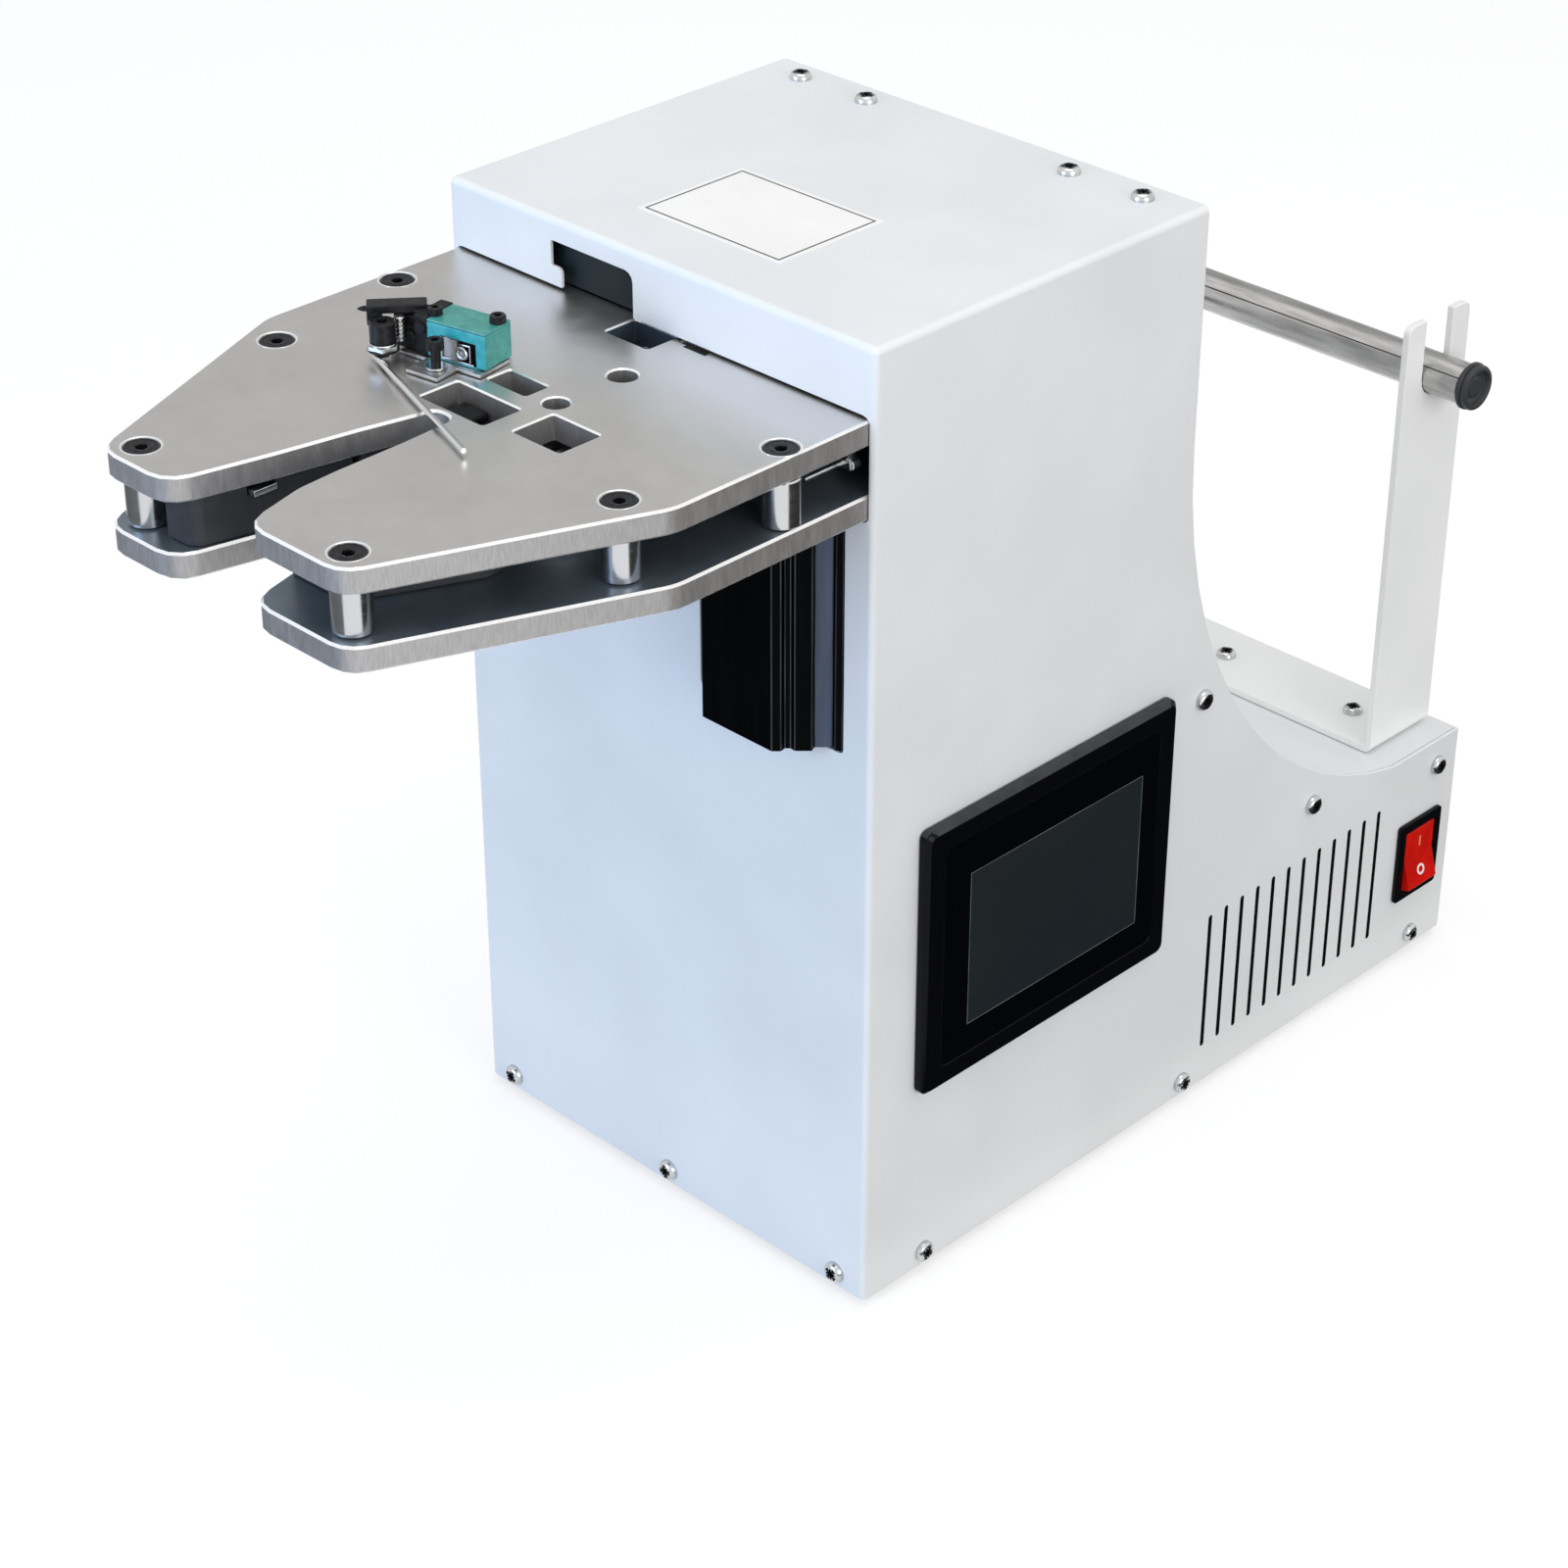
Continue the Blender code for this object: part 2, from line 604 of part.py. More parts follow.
def main_shell(frame, finish):
    """Front, top and both sides, folded from one sheet and welded."""
    side = [(0, 0), (0, HOUSING_HEIGHT), *rear_path()]
    mesh = prism(side, -HALF_WIDTH, HALF_WIDTH, "X")
    bends = []
    for edge in mesh.edges:
        ends = [v.co for v in edge.verts]
        front = all(p.y == 0 for p in ends)
        top = all(p.z > HOUSING_HEIGHT - SEAT for p in ends)
        left_or_right = ends[0].x * ends[1].x > 0
        if (front and top) or ((front or top) and left_or_right):
            bends.append(edge)
    bmesh.ops.bevel(mesh, geom=bends, offset=BEND_RADIUS, segments=CORNER_STEPS, affect="EDGES",
                    profile=0.5)
    shell = piece("main_shell", mesh, finish, frame)
    inside = prism(rect(SHEET, BASE_DEPTH + OVERRUN, -OVERRUN, HOUSING_HEIGHT - SHEET),
                   -INNER_HALF, INNER_HALF, "X")
    front = prism(front_opening(), -OVERRUN, SHEET + OVERRUN, "Y")
    cut(shell, [inside])
    cut(shell, [front])
    cut(shell, [*vents(), screen_hole(), rocker_hole()])
    return shell


def front_opening():
    """Window for the deck, the notch over it and the cut-out for the feed motor, as one outline."""
    side = HALF_WIDTH - WINDOW_SIDE
    low = LOWER_LEVEL - WINDOW_GAP
    cut_half = MOTOR_WIDTH / 2 + MOTOR_CUT_GAP
    cut_low = LOWER_LEVEL - SEAT - MOTOR_HEIGHT - MOTOR_CUT_BELOW
    notch_top = WINDOW_TOP + NOTCH_HEIGHT
    return rounded([
        (-side, low, WINDOW_RADIUS),
        (MOTOR_X - cut_half, low, 0),
        (MOTOR_X - cut_half, cut_low, MOTOR_CUT_RADIUS),
        (MOTOR_X + cut_half, cut_low, MOTOR_CUT_RADIUS),
        (MOTOR_X + cut_half, low, 0),
        (side, low, WINDOW_RADIUS),
        (side, WINDOW_TOP, WINDOW_RADIUS),
        (NOTCH_RIGHT, WINDOW_TOP, 0),
        (NOTCH_RIGHT, notch_top, NOTCH_RADIUS),
        (NOTCH_LEFT, notch_top, WINDOW_CORNER),
        (NOTCH_LEFT, WINDOW_TOP + NOTCH_TAB_HEIGHT, 0),
        (NOTCH_LEFT + NOTCH_TAB, WINDOW_TOP + NOTCH_TAB_HEIGHT, NOTCH_TAB_RADIUS),
        (NOTCH_LEFT + NOTCH_TAB, WINDOW_TOP, 0),
        (-side, WINDOW_TOP, WINDOW_RADIUS),
    ])


def vents():
    """Cutters for the row of vent slots in the right side."""
    last = BASE_DEPTH - ROCKER_REAR_INSET - ROCKER_LENGTH - VENT_TO_ROCKER
    slot = rect(-VENT_WIDTH / 2, VENT_WIDTH / 2, VENT_BOTTOM, VENT_BOTTOM + VENT_HEIGHT,
                VENT_WIDTH / 2)
    return [prism(shift(slot, last - i * VENT_PITCH, 0), INNER_HALF - OVERRUN,
                  HALF_WIDTH + OVERRUN, "X") for i in range(VENT_COUNT)]


def screen_hole():
    """Cutter for the touch screen's body in the right side."""
    inset = SCREEN_BODY_INSET - SCREEN_HOLE_GAP
    return prism(rect(SCREEN_FRONT + inset, SCREEN_FRONT + SCREEN_LENGTH - inset,
                      SCREEN_BOTTOM + inset, SCREEN_BOTTOM + SCREEN_HEIGHT - inset),
                 INNER_HALF - OVERRUN, HALF_WIDTH + OVERRUN, "X")


def rocker_hole():
    """Cutter for the rocker switch's body in the right side."""
    inset = ROCKER_BODY_INSET - SEAT
    rear = BASE_DEPTH - ROCKER_REAR_INSET
    return prism(rect(rear - ROCKER_LENGTH + inset, rear - inset,
                      ROCKER_BOTTOM + inset, ROCKER_BOTTOM + ROCKER_HEIGHT - inset),
                 INNER_HALF - OVERRUN, HALF_WIDTH + OVERRUN, "X")


def rear_cover(frame, finish):
    """Back wall, curve, seat for the reel holder and rear wall, folded from one sheet."""
    width = INNER_HALF - SEAT
    under = SHEET + SEAT
    path = [(HEAD_DEPTH - COVER_LIP, HOUSING_HEIGHT - under), *rear_path(under)]
    inner = offset_path(path, COVER_FLANGE)
    band = prism(path + inner[::-1], -width, width, "X")
    cover = piece("rear_cover", band, finish, frame)
    near = offset_path(path, SHEET)
    far = offset_path(path, COVER_FLANGE + OVERRUN)
    near[0] = (near[0][0] - OVERRUN, near[0][1])
    far[0] = (far[0][0] - OVERRUN, far[0][1])
    near[-1] = (near[-1][0], -OVERRUN)
    far[-1] = (far[-1][0], -OVERRUN)
    inside = prism(near + far[::-1], -width + SHEET, width - SHEET, "X")
    rim = prism(rect(BASE_DEPTH - COVER_FLANGE - OVERRUN, BASE_DEPTH - SHEET,
                     -OVERRUN, TRAY_RIM + SEAT), -width - OVERRUN, width + OVERRUN, "X")
    past = BASE_DEPTH - ROCKER_REAR_INSET
    switch = prism(rect(past - ROCKER_LENGTH, past + ROCKER_FLANGE_GAP,
                        ROCKER_BOTTOM, ROCKER_BOTTOM + ROCKER_HEIGHT), 0, HALF_WIDTH, "X")
    cut(cover, [inside])
    cut(cover, [rim, switch])
    half_width = INLET_BODY_WIDTH / 2 + SEAT
    half_height = INLET_HEIGHT / 2 - INLET_BODY_INSET + SEAT
    socket = prism(rect(INLET_X - half_width, INLET_X + half_width,
                        INLET_Z - half_height, INLET_Z + half_height),
                   BASE_DEPTH - COVER_FLANGE, BASE_DEPTH + OVERRUN, "Y")
    eyelet = prism(circle(EYELET_NECK + SEAT, centre=(TIE_X, MID_LEVEL)),
                   HEAD_DEPTH - COVER_FLANGE, HEAD_DEPTH + OVERRUN, "Y")
    cut(cover, [socket, eyelet])
    return cover


def base_tray(frame, finish):
    """Shallow tray that closes the housing from below."""
    half = INNER_HALF - SEAT
    front = SHEET + SEAT
    rear = BASE_DEPTH - SHEET - SEAT
    outer = rect(-half, half, front, rear)
    inner = rect(-half + SHEET, half - SHEET, front + SHEET, rear - SHEET)
    rings = [placed(outer, 0, "Z"), placed(outer, TRAY_RIM, "Z"),
             placed(inner, TRAY_RIM, "Z"), placed(inner, SHEET, "Z")]
    return piece("base_tray", loft(rings), finish, frame)


def feet(frame, finish):
    """Four low rubber feet under the tray."""
    profile = [(FOOT_RADIUS - FOOT_TAPER, -FOOT_HEIGHT), (FOOT_RADIUS, -FOOT_HEIGHT / 2),
               (FOOT_RADIUS, -SEAT)]
    for end, y in (("front", FOOT_INSET), ("rear", BASE_DEPTH - FOOT_INSET)):
        for side, x in (("left", FOOT_INSET - HALF_WIDTH), ("right", HALF_WIDTH - FOOT_INSET)):
            piece(f"foot_{end}_{side}", turned(profile, steps=FINE_STEPS), finish, frame,
                  (x, y, 0), smooth=True)


def uprights(frame, finish):
    """Two folded uprights that carry the deck on the tray."""
    low = SHEET + SEAT
    high = LOWER_LEVEL - SEAT
    rear = DECK_REAR - UPRIGHT_REAR_INSET
    for side, sign in (("left", -1), ("right", 1)):
        web = UPRIGHT_X * sign
        back = (UPRIGHT_X - UPRIGHT_THICK) * sign
        toe = (UPRIGHT_X - UPRIGHT_FLANGE) * sign
        section = [(web, low), (web, high), (toe, high), (toe, high - UPRIGHT_THICK),
                   (back, high - UPRIGHT_THICK), (back, low + UPRIGHT_THICK),
                   (toe, low + UPRIGHT_THICK), (toe, low)]
        piece(f"upright_{side}", prism(section, rear - UPRIGHT_DEPTH, rear, "Y"), finish, frame)


def mouth_edges():
    """Left and right edge of the mouth, from its bottom to the jaws' tips, as (x, y, radius)."""
    left = [(-x * MOUTH_LEFT, MOUTH_BOTTOM - y * MOUTH_DEPTH) for x, y in LEFT_EDGE_SHARES]
    right = [(x * MOUTH_RIGHT, MOUTH_BOTTOM - y * MOUTH_DEPTH) for x, y in RIGHT_EDGE_SHARES]
    radii = [MOUTH_BOTTOM_RADIUS] + [MOUTH_EDGE_RADIUS] * (len(left) - 1) + [JAW_TIP_RADIUS]
    left.append((-MOUTH_LEFT, -DECK_REACH))
    right.append((MOUTH_RIGHT, -DECK_REACH))
    return ([(x, y, r) for (x, y), r in zip(left, radii)],
            [(x, y, r) for (x, y), r in zip(right, radii)])


def deck_outline():
    """Outline that both plates share."""
    left, right = mouth_edges()
    bend = -JAW_BEND_SHARE * DECK_REACH
    tip = JAW_TIP_SHARE * DECK_HALF
    corners = [(DECK_HALF, DECK_REAR, WINDOW_RADIUS), (-DECK_HALF, DECK_REAR, WINDOW_RADIUS),
               (-DECK_HALF, bend, JAW_BEND_RADIUS), (-tip, -DECK_REACH, JAW_TIP_RADIUS)]
    corners += left[::-1] + right
    corners += [(tip, -DECK_REACH, JAW_TIP_RADIUS), (DECK_HALF, bend, JAW_BEND_RADIUS)]
    return rounded(corners)


def spacer_places():
    """Where the six spacers and their screws stand."""
    return [(side * x * DECK_HALF, -y * DECK_REACH)
            for side in (-1, 1) for x, y in SPACER_SHARES]


def lower_plate(frame, finish):
    """Lower plate of the deck."""
    plate = piece("lower_plate", prism(deck_outline(), 0, PLATE_THICK), finish, frame,
                  (0, 0, LOWER_LEVEL))
    chamfer(plate, PLATE_CHAMFER)
    shaft = prism(circle(FEED_SHAFT_HOLE, FINE_STEPS, (MOTOR_X, MOTOR_Y)), -OVERRUN,
                  PLATE_THICK + OVERRUN)
    cut(plate, [shaft])
    return plate


def upper_plate(frame, finish):
    """Upper plate of the deck, with its windows, holes and countersinks."""
    plate = piece("upper_plate", prism(deck_outline(), 0, PLATE_THICK), finish, frame,
                  (0, 0, UPPER_LEVEL))
    chamfer(plate, PLATE_CHAMFER)
    low, high = -OVERRUN, PLATE_THICK + OVERRUN
    openings = [prism(rect(*window, WINDOW_CORNER), low, high)
                for window in (HEAD_WINDOW, SHAFT_WINDOW, TIE_WINDOW, REAR_WINDOW, REAR_SLOT)]
    for radius, y in ((REAR_HOLE_RADIUS, REAR_HOLE_Y), (FRONT_HOLE_RADIUS, FRONT_HOLE_Y)):
        openings.append(prism(circle(radius, FINE_STEPS, (CUTTER_X, y)), low, high))
    stem = PLATE_SCREW_STEM + RUN_GAP
    head = PLATE_SCREW_HEAD + RUN_GAP
    sink = PLATE_THICK - PLATE_SCREW_SINK
    profile = [(stem, low), (stem, sink), (head, PLATE_THICK - SEAT), (head, high)]
    openings += [turned(profile, steps=FINE_STEPS, centre=place) for place in spacer_places()]
    cut(plate, openings)
    return plate


def spacers(frame, finish, screw_finish):
    """Six round spacers between the plates, each with the countersunk screw that goes through."""
    bore = PLATE_SCREW_STEM + RUN_GAP
    low = LOWER_TOP + SEAT
    high = UPPER_LEVEL - SEAT
    ring = [(bore, low), (SPACER_RADIUS, low), (SPACER_RADIUS, high), (bore, high)]
    top = DECK_TOP - SEAT
    socket = PLATE_SCREW_STEM - SEAT
    screw = [(PLATE_SCREW_STEM, LOWER_TOP + PLATE_SCREW_ABOVE),
             (PLATE_SCREW_STEM, DECK_TOP - PLATE_SCREW_SINK), (PLATE_SCREW_HEAD, top),
             (socket, top), (socket, top - PLATE_SCREW_SOCKET)]
    for number, (x, y) in enumerate(spacer_places(), 1):
        piece(f"deck_spacer_{number}", turned(ring, steps=FINE_STEPS, loop=True), finish, frame,
              (x, y, 0), smooth=True)
        piece(f"deck_screw_{number}", turned(screw, steps=FINE_STEPS), screw_finish, frame,
              (x, y, 0), smooth=True)


def edge_between(edge, front, rear, aside):
    """Part of a mouth edge between two places along Y, moved aside into the jaw."""
    line = rounded([(*edge[0][:2], 0), *edge[1:-1], (*edge[-1][:2], 0)])
    kept = [(x, y) for x, y in line if front < y < rear]
    ends = []
    for level in (rear, front):
        for (x0, y0), (x1, y1) in zip(line, line[1:]):
            if y1 <= level < y0:
                ends.append((x0 + (x1 - x0) * (y0 - level) / (y0 - y1), level))
    return [(x + aside, y) for x, y in (ends[0], *kept, ends[1])]


def channel(path):
    """Cutter for the tie's channel along a path, open to the top."""
    left = offset_path(path, -CHANNEL_WIDTH / 2)
    right = offset_path(path, CHANNEL_WIDTH / 2)
    top = PLATE_GAP + OVERRUN
    return prism(left + right[::-1], PLATE_GAP - SEAT - CHANNEL_DEPTH, top)


def guides(frame, finish, steel):
    """Two blocks in the jaws that lead the tie across the mouth, and the stop for its end."""
    left_edge, right_edge = mouth_edges()
    height = PLATE_GAP - 2 * SEAT
    seat = (0, 0, LOWER_TOP + SEAT)

    inner = edge_between(right_edge, GUIDE_RIGHT_FRONT, GUIDE_REAR, GUIDE_SET_BACK)
    length = GUIDE_REAR - GUIDE_RIGHT_FRONT
    outer = [(x * GUIDE_RIGHT_OUTER, GUIDE_REAR - y * length) for x, y in GUIDE_RIGHT_SHARES]
    block = piece("guide_right", prism(inner + outer, 0, height), finish, frame, seat)
    bend = CHANNEL_BEND_RIGHT
    centre = (TIE_X - bend, CHANNEL_Y + bend)
    path = [(TIE_X, GUIDE_REAR + OVERRUN + bend)]
    path += arc(centre, bend, 0, -math.pi / 2, 2 * CORNER_STEPS) + [(0, CHANNEL_Y)]
    slot = rect(BLADE_X - SEAT, BLADE_X + BLADE_THICK + SEAT,
                BLADE_TIP_Y - BLADE_SLOT_REACH, GUIDE_REAR + OVERRUN)
    floor = MID_LEVEL - BLADE_HEIGHT / 2 - SEAT - seat[2]
    cut(block, [channel(path), prism(slot, floor, height + OVERRUN)])

    inner = edge_between(left_edge, GUIDE_LEFT_FRONT, GUIDE_REAR, -GUIDE_SET_BACK)
    corners = [(x, y, 0) for x, y in inner]
    corners[-1] = (*inner[-1], GUIDE_LEFT_RADIUS)
    corners += [(GUIDE_LEFT_OUTER, GUIDE_LEFT_FRONT, 0), (GUIDE_LEFT_OUTER, GUIDE_REAR, 0)]
    block = piece("guide_left", prism(rounded(corners), 0, height), finish, frame, seat)
    bend = CHANNEL_BEND_LEFT
    mouth_x = edge_between(left_edge, CHANNEL_Y, GUIDE_REAR, -GUIDE_SET_BACK)[-1][0]
    turn_x = mouth_x - CHANNEL_RUN_LEFT
    path = [(0, CHANNEL_Y)]
    path += arc((turn_x, CHANNEL_Y + bend), bend, -math.pi / 2, -math.pi, 2 * CORNER_STEPS)
    path += [(turn_x - bend, GUIDE_REAR + OVERRUN + bend)]
    wall_x = edge_between(left_edge, FINGER_FRONT + FINGER_LENGTH, GUIDE_REAR,
                          -GUIDE_SET_BACK)[-1][0]
    top = height - FINGER_DROP
    recess = prism(rect(wall_x - FINGER_DEPTH - SEAT, 0, FINGER_FRONT - SEAT,
                        FINGER_FRONT + FINGER_LENGTH + SEAT),
                   top - FINGER_HEIGHT - SEAT, height + OVERRUN)
    cut(block, [channel(path)])
    cut(block, [recess])
    stop = rect(wall_x - FINGER_DEPTH, wall_x + FINGER_PROUD, FINGER_FRONT,
                FINGER_FRONT + FINGER_LENGTH)
    piece("tie_stop", prism(stop, top - FINGER_HEIGHT, top), steel, frame, seat)


def gear_level():
    """Where the two gears begin along Y."""
    return DECK_REAR + SEAT + MOTOR_PLATE_THICK + GEAR_GAP


def gear_distance():
    """Distance between the spindle and the twist motor's shaft."""
    return GEAR_MODULE * (SPINDLE_TEETH + DRIVE_TEETH) / 2


def gear_outline(teeth, turn):
    """Involute spur gear, one tooth's flanks worked out from the module."""
    pitch = GEAR_MODULE * teeth / 2
    base = pitch * math.cos(GEAR_PRESSURE)
    tip = pitch + GEAR_MODULE
    root = pitch - GEAR_ROOT_SHARE * GEAR_MODULE
    spread = math.pi / teeth * (1 - GEAR_BACKLASH_SHARE) / 2
    involute = math.tan(GEAR_PRESSURE) - GEAR_PRESSURE

    def half_angle(radius):
        slope = math.acos(min(1, base / radius))
        return spread + involute - (math.tan(slope) - slope)

    flank = [max(base, root + SEAT), pitch, (pitch + tip) / 2, tip]
    points = []
    for i in range(teeth):
        middle = turn + 2 * math.pi * i / teeth
        sides = [(root, -half_angle(flank[0])), *[(r, -half_angle(r)) for r in flank]]
        sides += [(r, -a) for r, a in sides[::-1]]
        points += [(r * math.cos(middle + a), r * math.sin(middle + a)) for r, a in sides]
    return points


def gear_mesh(teeth, bore, turn):
    """Spur gear along Y with a plain bore."""
    outline = gear_outline(teeth, turn)
    turns = [math.atan2(b, a) for a, b in outline]
    hole = [(bore * math.cos(t), bore * math.sin(t)) for t in turns]
    rings = [placed(outline, 0, "Y"), placed(outline, GEAR_WIDTH, "Y"),
             placed(hole, GEAR_WIDTH, "Y"), placed(hole, 0, "Y")]
    return loft(rings, loop=True)


def spindle(frame, black, steel, block_finish):
    """Twister spindle with its forked head, the bearing block and its gear."""
    pivot = empty("spindle_axis", (0, 0, MID_LEVEL), frame)
    gear_front = gear_level()
    gear_rear = gear_front + GEAR_WIDTH
    neck = HEAD_FRONT + HEAD_LENGTH
    profile = [(HEAD_RADIUS, HEAD_FRONT), (HEAD_RADIUS, neck), (SPINDLE_RADIUS, neck),
               (SPINDLE_RADIUS, gear_rear + GEAR_GAP)]
    shaft = piece("twister_spindle", turned(profile, "Y"), black, pivot, smooth=True)
    slot = rect(-HEAD_RADIUS - OVERRUN, HEAD_RADIUS + OVERRUN, -HEAD_SLOT / 2, HEAD_SLOT / 2)
    cut(shaft, [prism(slot, HEAD_FRONT - OVERRUN, HEAD_FRONT + HEAD_SLOT_DEPTH, "Y")])
    gear = piece("spindle_gear", gear_mesh(SPINDLE_TEETH, SPINDLE_RADIUS + GEAR_BORE_GAP,
                                           math.pi / SPINDLE_TEETH), steel, pivot)
    gear.location = (0, gear_front, 0)

    half_height = PLATE_GAP / 2 - SEAT
    outline = rect(-BEARING_HALF, BEARING_HALF, -half_height, half_height)
    block = piece("spindle_bearing", prism(outline, 0, BEARING_LENGTH, "Y"), block_finish, frame,
                  (0, BEARING_FRONT, MID_LEVEL))
    cut(block, [prism(circle(SPINDLE_RADIUS + RUN_GAP), -OVERRUN, BEARING_LENGTH + OVERRUN, "Y")])


def twist_drive(frame, plate_finish, motor_finish, steel):
    """Motor plate behind the deck, the twist motor on it and the gear on its shaft."""
    low = LOWER_LEVEL - MOTOR_PLATE_BELOW
    half = MOTOR_PLATE_WIDTH / 2
    axis_level = MID_LEVEL - gear_distance()
    front = DECK_REAR + SEAT
    plate = piece("motor_plate", prism(rect(-half, half, low, DECK_TOP), 0, MOTOR_PLATE_THICK, "Y"),
                  plate_finish, frame, (0, front, 0))
    holes = [(SPINDLE_RADIUS + RUN_GAP, MID_LEVEL), (TWIST_SHAFT_HOLE, axis_level)]
    cut(plate, [prism(circle(radius, centre=(0, level)), -OVERRUN, MOTOR_PLATE_THICK + OVERRUN, "Y")
                for radius, level in holes])
    rear = front - SEAT
    body = [(TWIST_MOTOR_RADIUS, rear - TWIST_MOTOR_LENGTH), (TWIST_MOTOR_RADIUS, rear)]
    piece("twist_motor", turned(body, "Y"), motor_finish, frame, (0, 0, axis_level), smooth=True)
    shaft_front = rear + SEAT
    gear_front = gear_level()
    gear = gear_outline(DRIVE_TEETH, math.pi / 2)
    turns = [math.atan2(b, a) for a, b in gear]
    hub = [(TWIST_SHAFT_RADIUS * math.cos(t), TWIST_SHAFT_RADIUS * math.sin(t)) for t in turns]
    rings = [placed(hub, shaft_front, "Y"), placed(hub, gear_front, "Y"),
             placed(gear, gear_front, "Y"), placed(gear, gear_front + GEAR_WIDTH, "Y")]
    piece("drive_gear", loft(rings), steel, frame, (0, 0, axis_level))


def feed_motor(frame, black):
    """Ribbed black motor that hangs under the deck, through the cut-out in the front."""
    half = MOTOR_WIDTH / 2
    corner = MOTOR_CORNER
    rib = FIN_GROOVE_WIDTH / 2
    outline = []
    for turn in range(4):
        c, s = math.cos(turn * math.pi / 2), math.sin(turn * math.pi / 2)
        edge = [(half - corner, -half), (half, -half + corner)]
        points = [edge[0]]
        length = math.hypot(corner, corner)
        along = (corner / length, corner / length)
        inward = (-along[1], along[0])
        for groove in range(1, FIN_GROOVES + 1):
            centre = length * groove / (FIN_GROOVES + 1)
            for aside, depth in ((-rib, 0), (-rib, FIN_GROOVE_DEPTH), (rib, FIN_GROOVE_DEPTH),
                                 (rib, 0)):
                reach = centre + aside
                points.append((edge[0][0] + along[0] * reach + inward[0] * depth,
                               edge[0][1] + along[1] * reach + inward[1] * depth))
        points.append(edge[1])
        outline += [(c * x - s * y, s * x + c * y) for x, y in points]
    top = LOWER_LEVEL - SEAT
    piece("feed_motor", prism(outline, -MOTOR_HEIGHT, 0), black, frame, (MOTOR_X, MOTOR_Y, top))


def feed_rollers(frame, rubber, steel):
    """Driven feed roller, and the pressure roller on the arm that presses it on the tie."""
    level = LOWER_TOP + 2 * SEAT
    drive = [(FEED_SHAFT_RADIUS, LOWER_LEVEL), (FEED_SHAFT_RADIUS, level),
             (FEED_ROLLER_RADIUS, level), (FEED_ROLLER_RADIUS, level + FEED_ROLLER_HEIGHT)]
    piece("feed_roller", turned(drive), steel, frame, (MOTOR_X, MOTOR_Y, 0), smooth=True)

    pivot = empty("arm_axis", (ARM_X, ARM_Y, 0), frame)
    arm_low = LOWER_TOP + SEAT
    arm_high = arm_low + ARM_THICK
    heading = math.atan2(-ARM_OFFSET_Y, ARM_OFFSET_X)
    quarter = math.pi / 2
    reach = (ARM_OFFSET_X, -ARM_OFFSET_Y)
    outline = arc((0, 0), ARM_EYE, heading + quarter, heading + 3 * quarter, 2 * CORNER_STEPS)
    outline += arc(reach, ARM_EYE, heading - quarter, heading + quarter, 2 * CORNER_STEPS)
    arm = piece("pressure_arm", prism(outline, arm_low, arm_high), steel, pivot)
    cut(arm, [prism(circle(ARM_PIN_RADIUS + RUN_GAP, FINE_STEPS), arm_low - OVERRUN,
                    arm_high + OVERRUN),
              prism(circle(ARM_PIN_RADIUS, FINE_STEPS, reach), arm_low - OVERRUN,
                    arm_high + OVERRUN)])
    pin = [(ARM_PIN_RADIUS, LOWER_TOP + SEAT), (ARM_PIN_RADIUS, arm_high + SEAT),
           (ARM_PIN_HEAD, arm_high + SEAT), (ARM_PIN_HEAD, arm_high + SEAT + ARM_PIN_HEAD_HEIGHT),
           (ARM_PIN_RADIUS, arm_high + SEAT + ARM_PIN_HEAD_HEIGHT),
           (ARM_PIN_RADIUS, UPPER_LEVEL - SEAT)]
    piece("arm_pin", turned(pin, steps=FINE_STEPS), steel, frame, (ARM_X, ARM_Y, 0), smooth=True)
    roller_low = arm_high + SEAT
    stub = ARM_PIN_RADIUS - SEAT
    roller = [(stub, arm_low), (stub, roller_low), (PRESS_RADIUS, roller_low),
              (PRESS_RADIUS, roller_low + PRESS_HEIGHT)]
    piece("pressure_roller", turned(roller), rubber, pivot, (*reach, 0), smooth=True)


def cutter(frame, steel, coil):
    """Solenoid between the plates and the blade that its plunger pushes over the channel."""
    low = LOWER_TOP + SEAT
    half = SOLENOID_WIDTH / 2
    body = prism(rect(-half, half, 0, SOLENOID_HEIGHT), 0, SOLENOID_LENGTH, "Y")
    solenoid = piece("cutter_solenoid", body, coil, frame, (CUTTER_X, SOLENOID_FRONT, low))
    bore = prism(circle(SOLENOID_BORE, FINE_STEPS, (0, MID_LEVEL - low)),
                 -OVERRUN, SOLENOID_BORE_SHARE * SOLENOID_LENGTH, "Y")
    cut(solenoid, [bore])

    bar = BLADE_BAR_WIDTH / 2
    blade_left = BLADE_X - CUTTER_X
    blade_right = blade_left + BLADE_THICK
    elbow = BLADE_ELBOW_Y
    outline = [(bar, BLADE_BAR_REAR), (-bar, BLADE_BAR_REAR), (-bar, elbow + bar),
               (blade_left, elbow),
               (blade_left, BLADE_TIP_Y), (blade_right, BLADE_TIP_Y + BLADE_THICK),
               (blade_right, elbow - bar), (bar, elbow - bar)]
    blade = piece("cutter_blade", prism(outline, -BLADE_HEIGHT / 2, BLADE_HEIGHT / 2), steel, frame,
                  (CUTTER_X, 0, MID_LEVEL))
    rod = prism(circle(PLUNGER_RADIUS, FINE_STEPS), BLADE_BAR_REAR - bar,
                SOLENOID_FRONT + PLUNGER_INSERT_SHARE * SOLENOID_LENGTH, "Y")
    join(blade, rod)


def lever_pivot():
    """Axis of the limit switch's lever."""
    x = -SWITCH_LENGTH / 2 - LEVER_FROM_BODY
    c, s = math.cos(SWITCH_TURN), math.sin(SWITCH_TURN)
    return SWITCH_X + c * x - s * LEVER_ASIDE, SWITCH_Y + s * x + c * LEVER_ASIDE


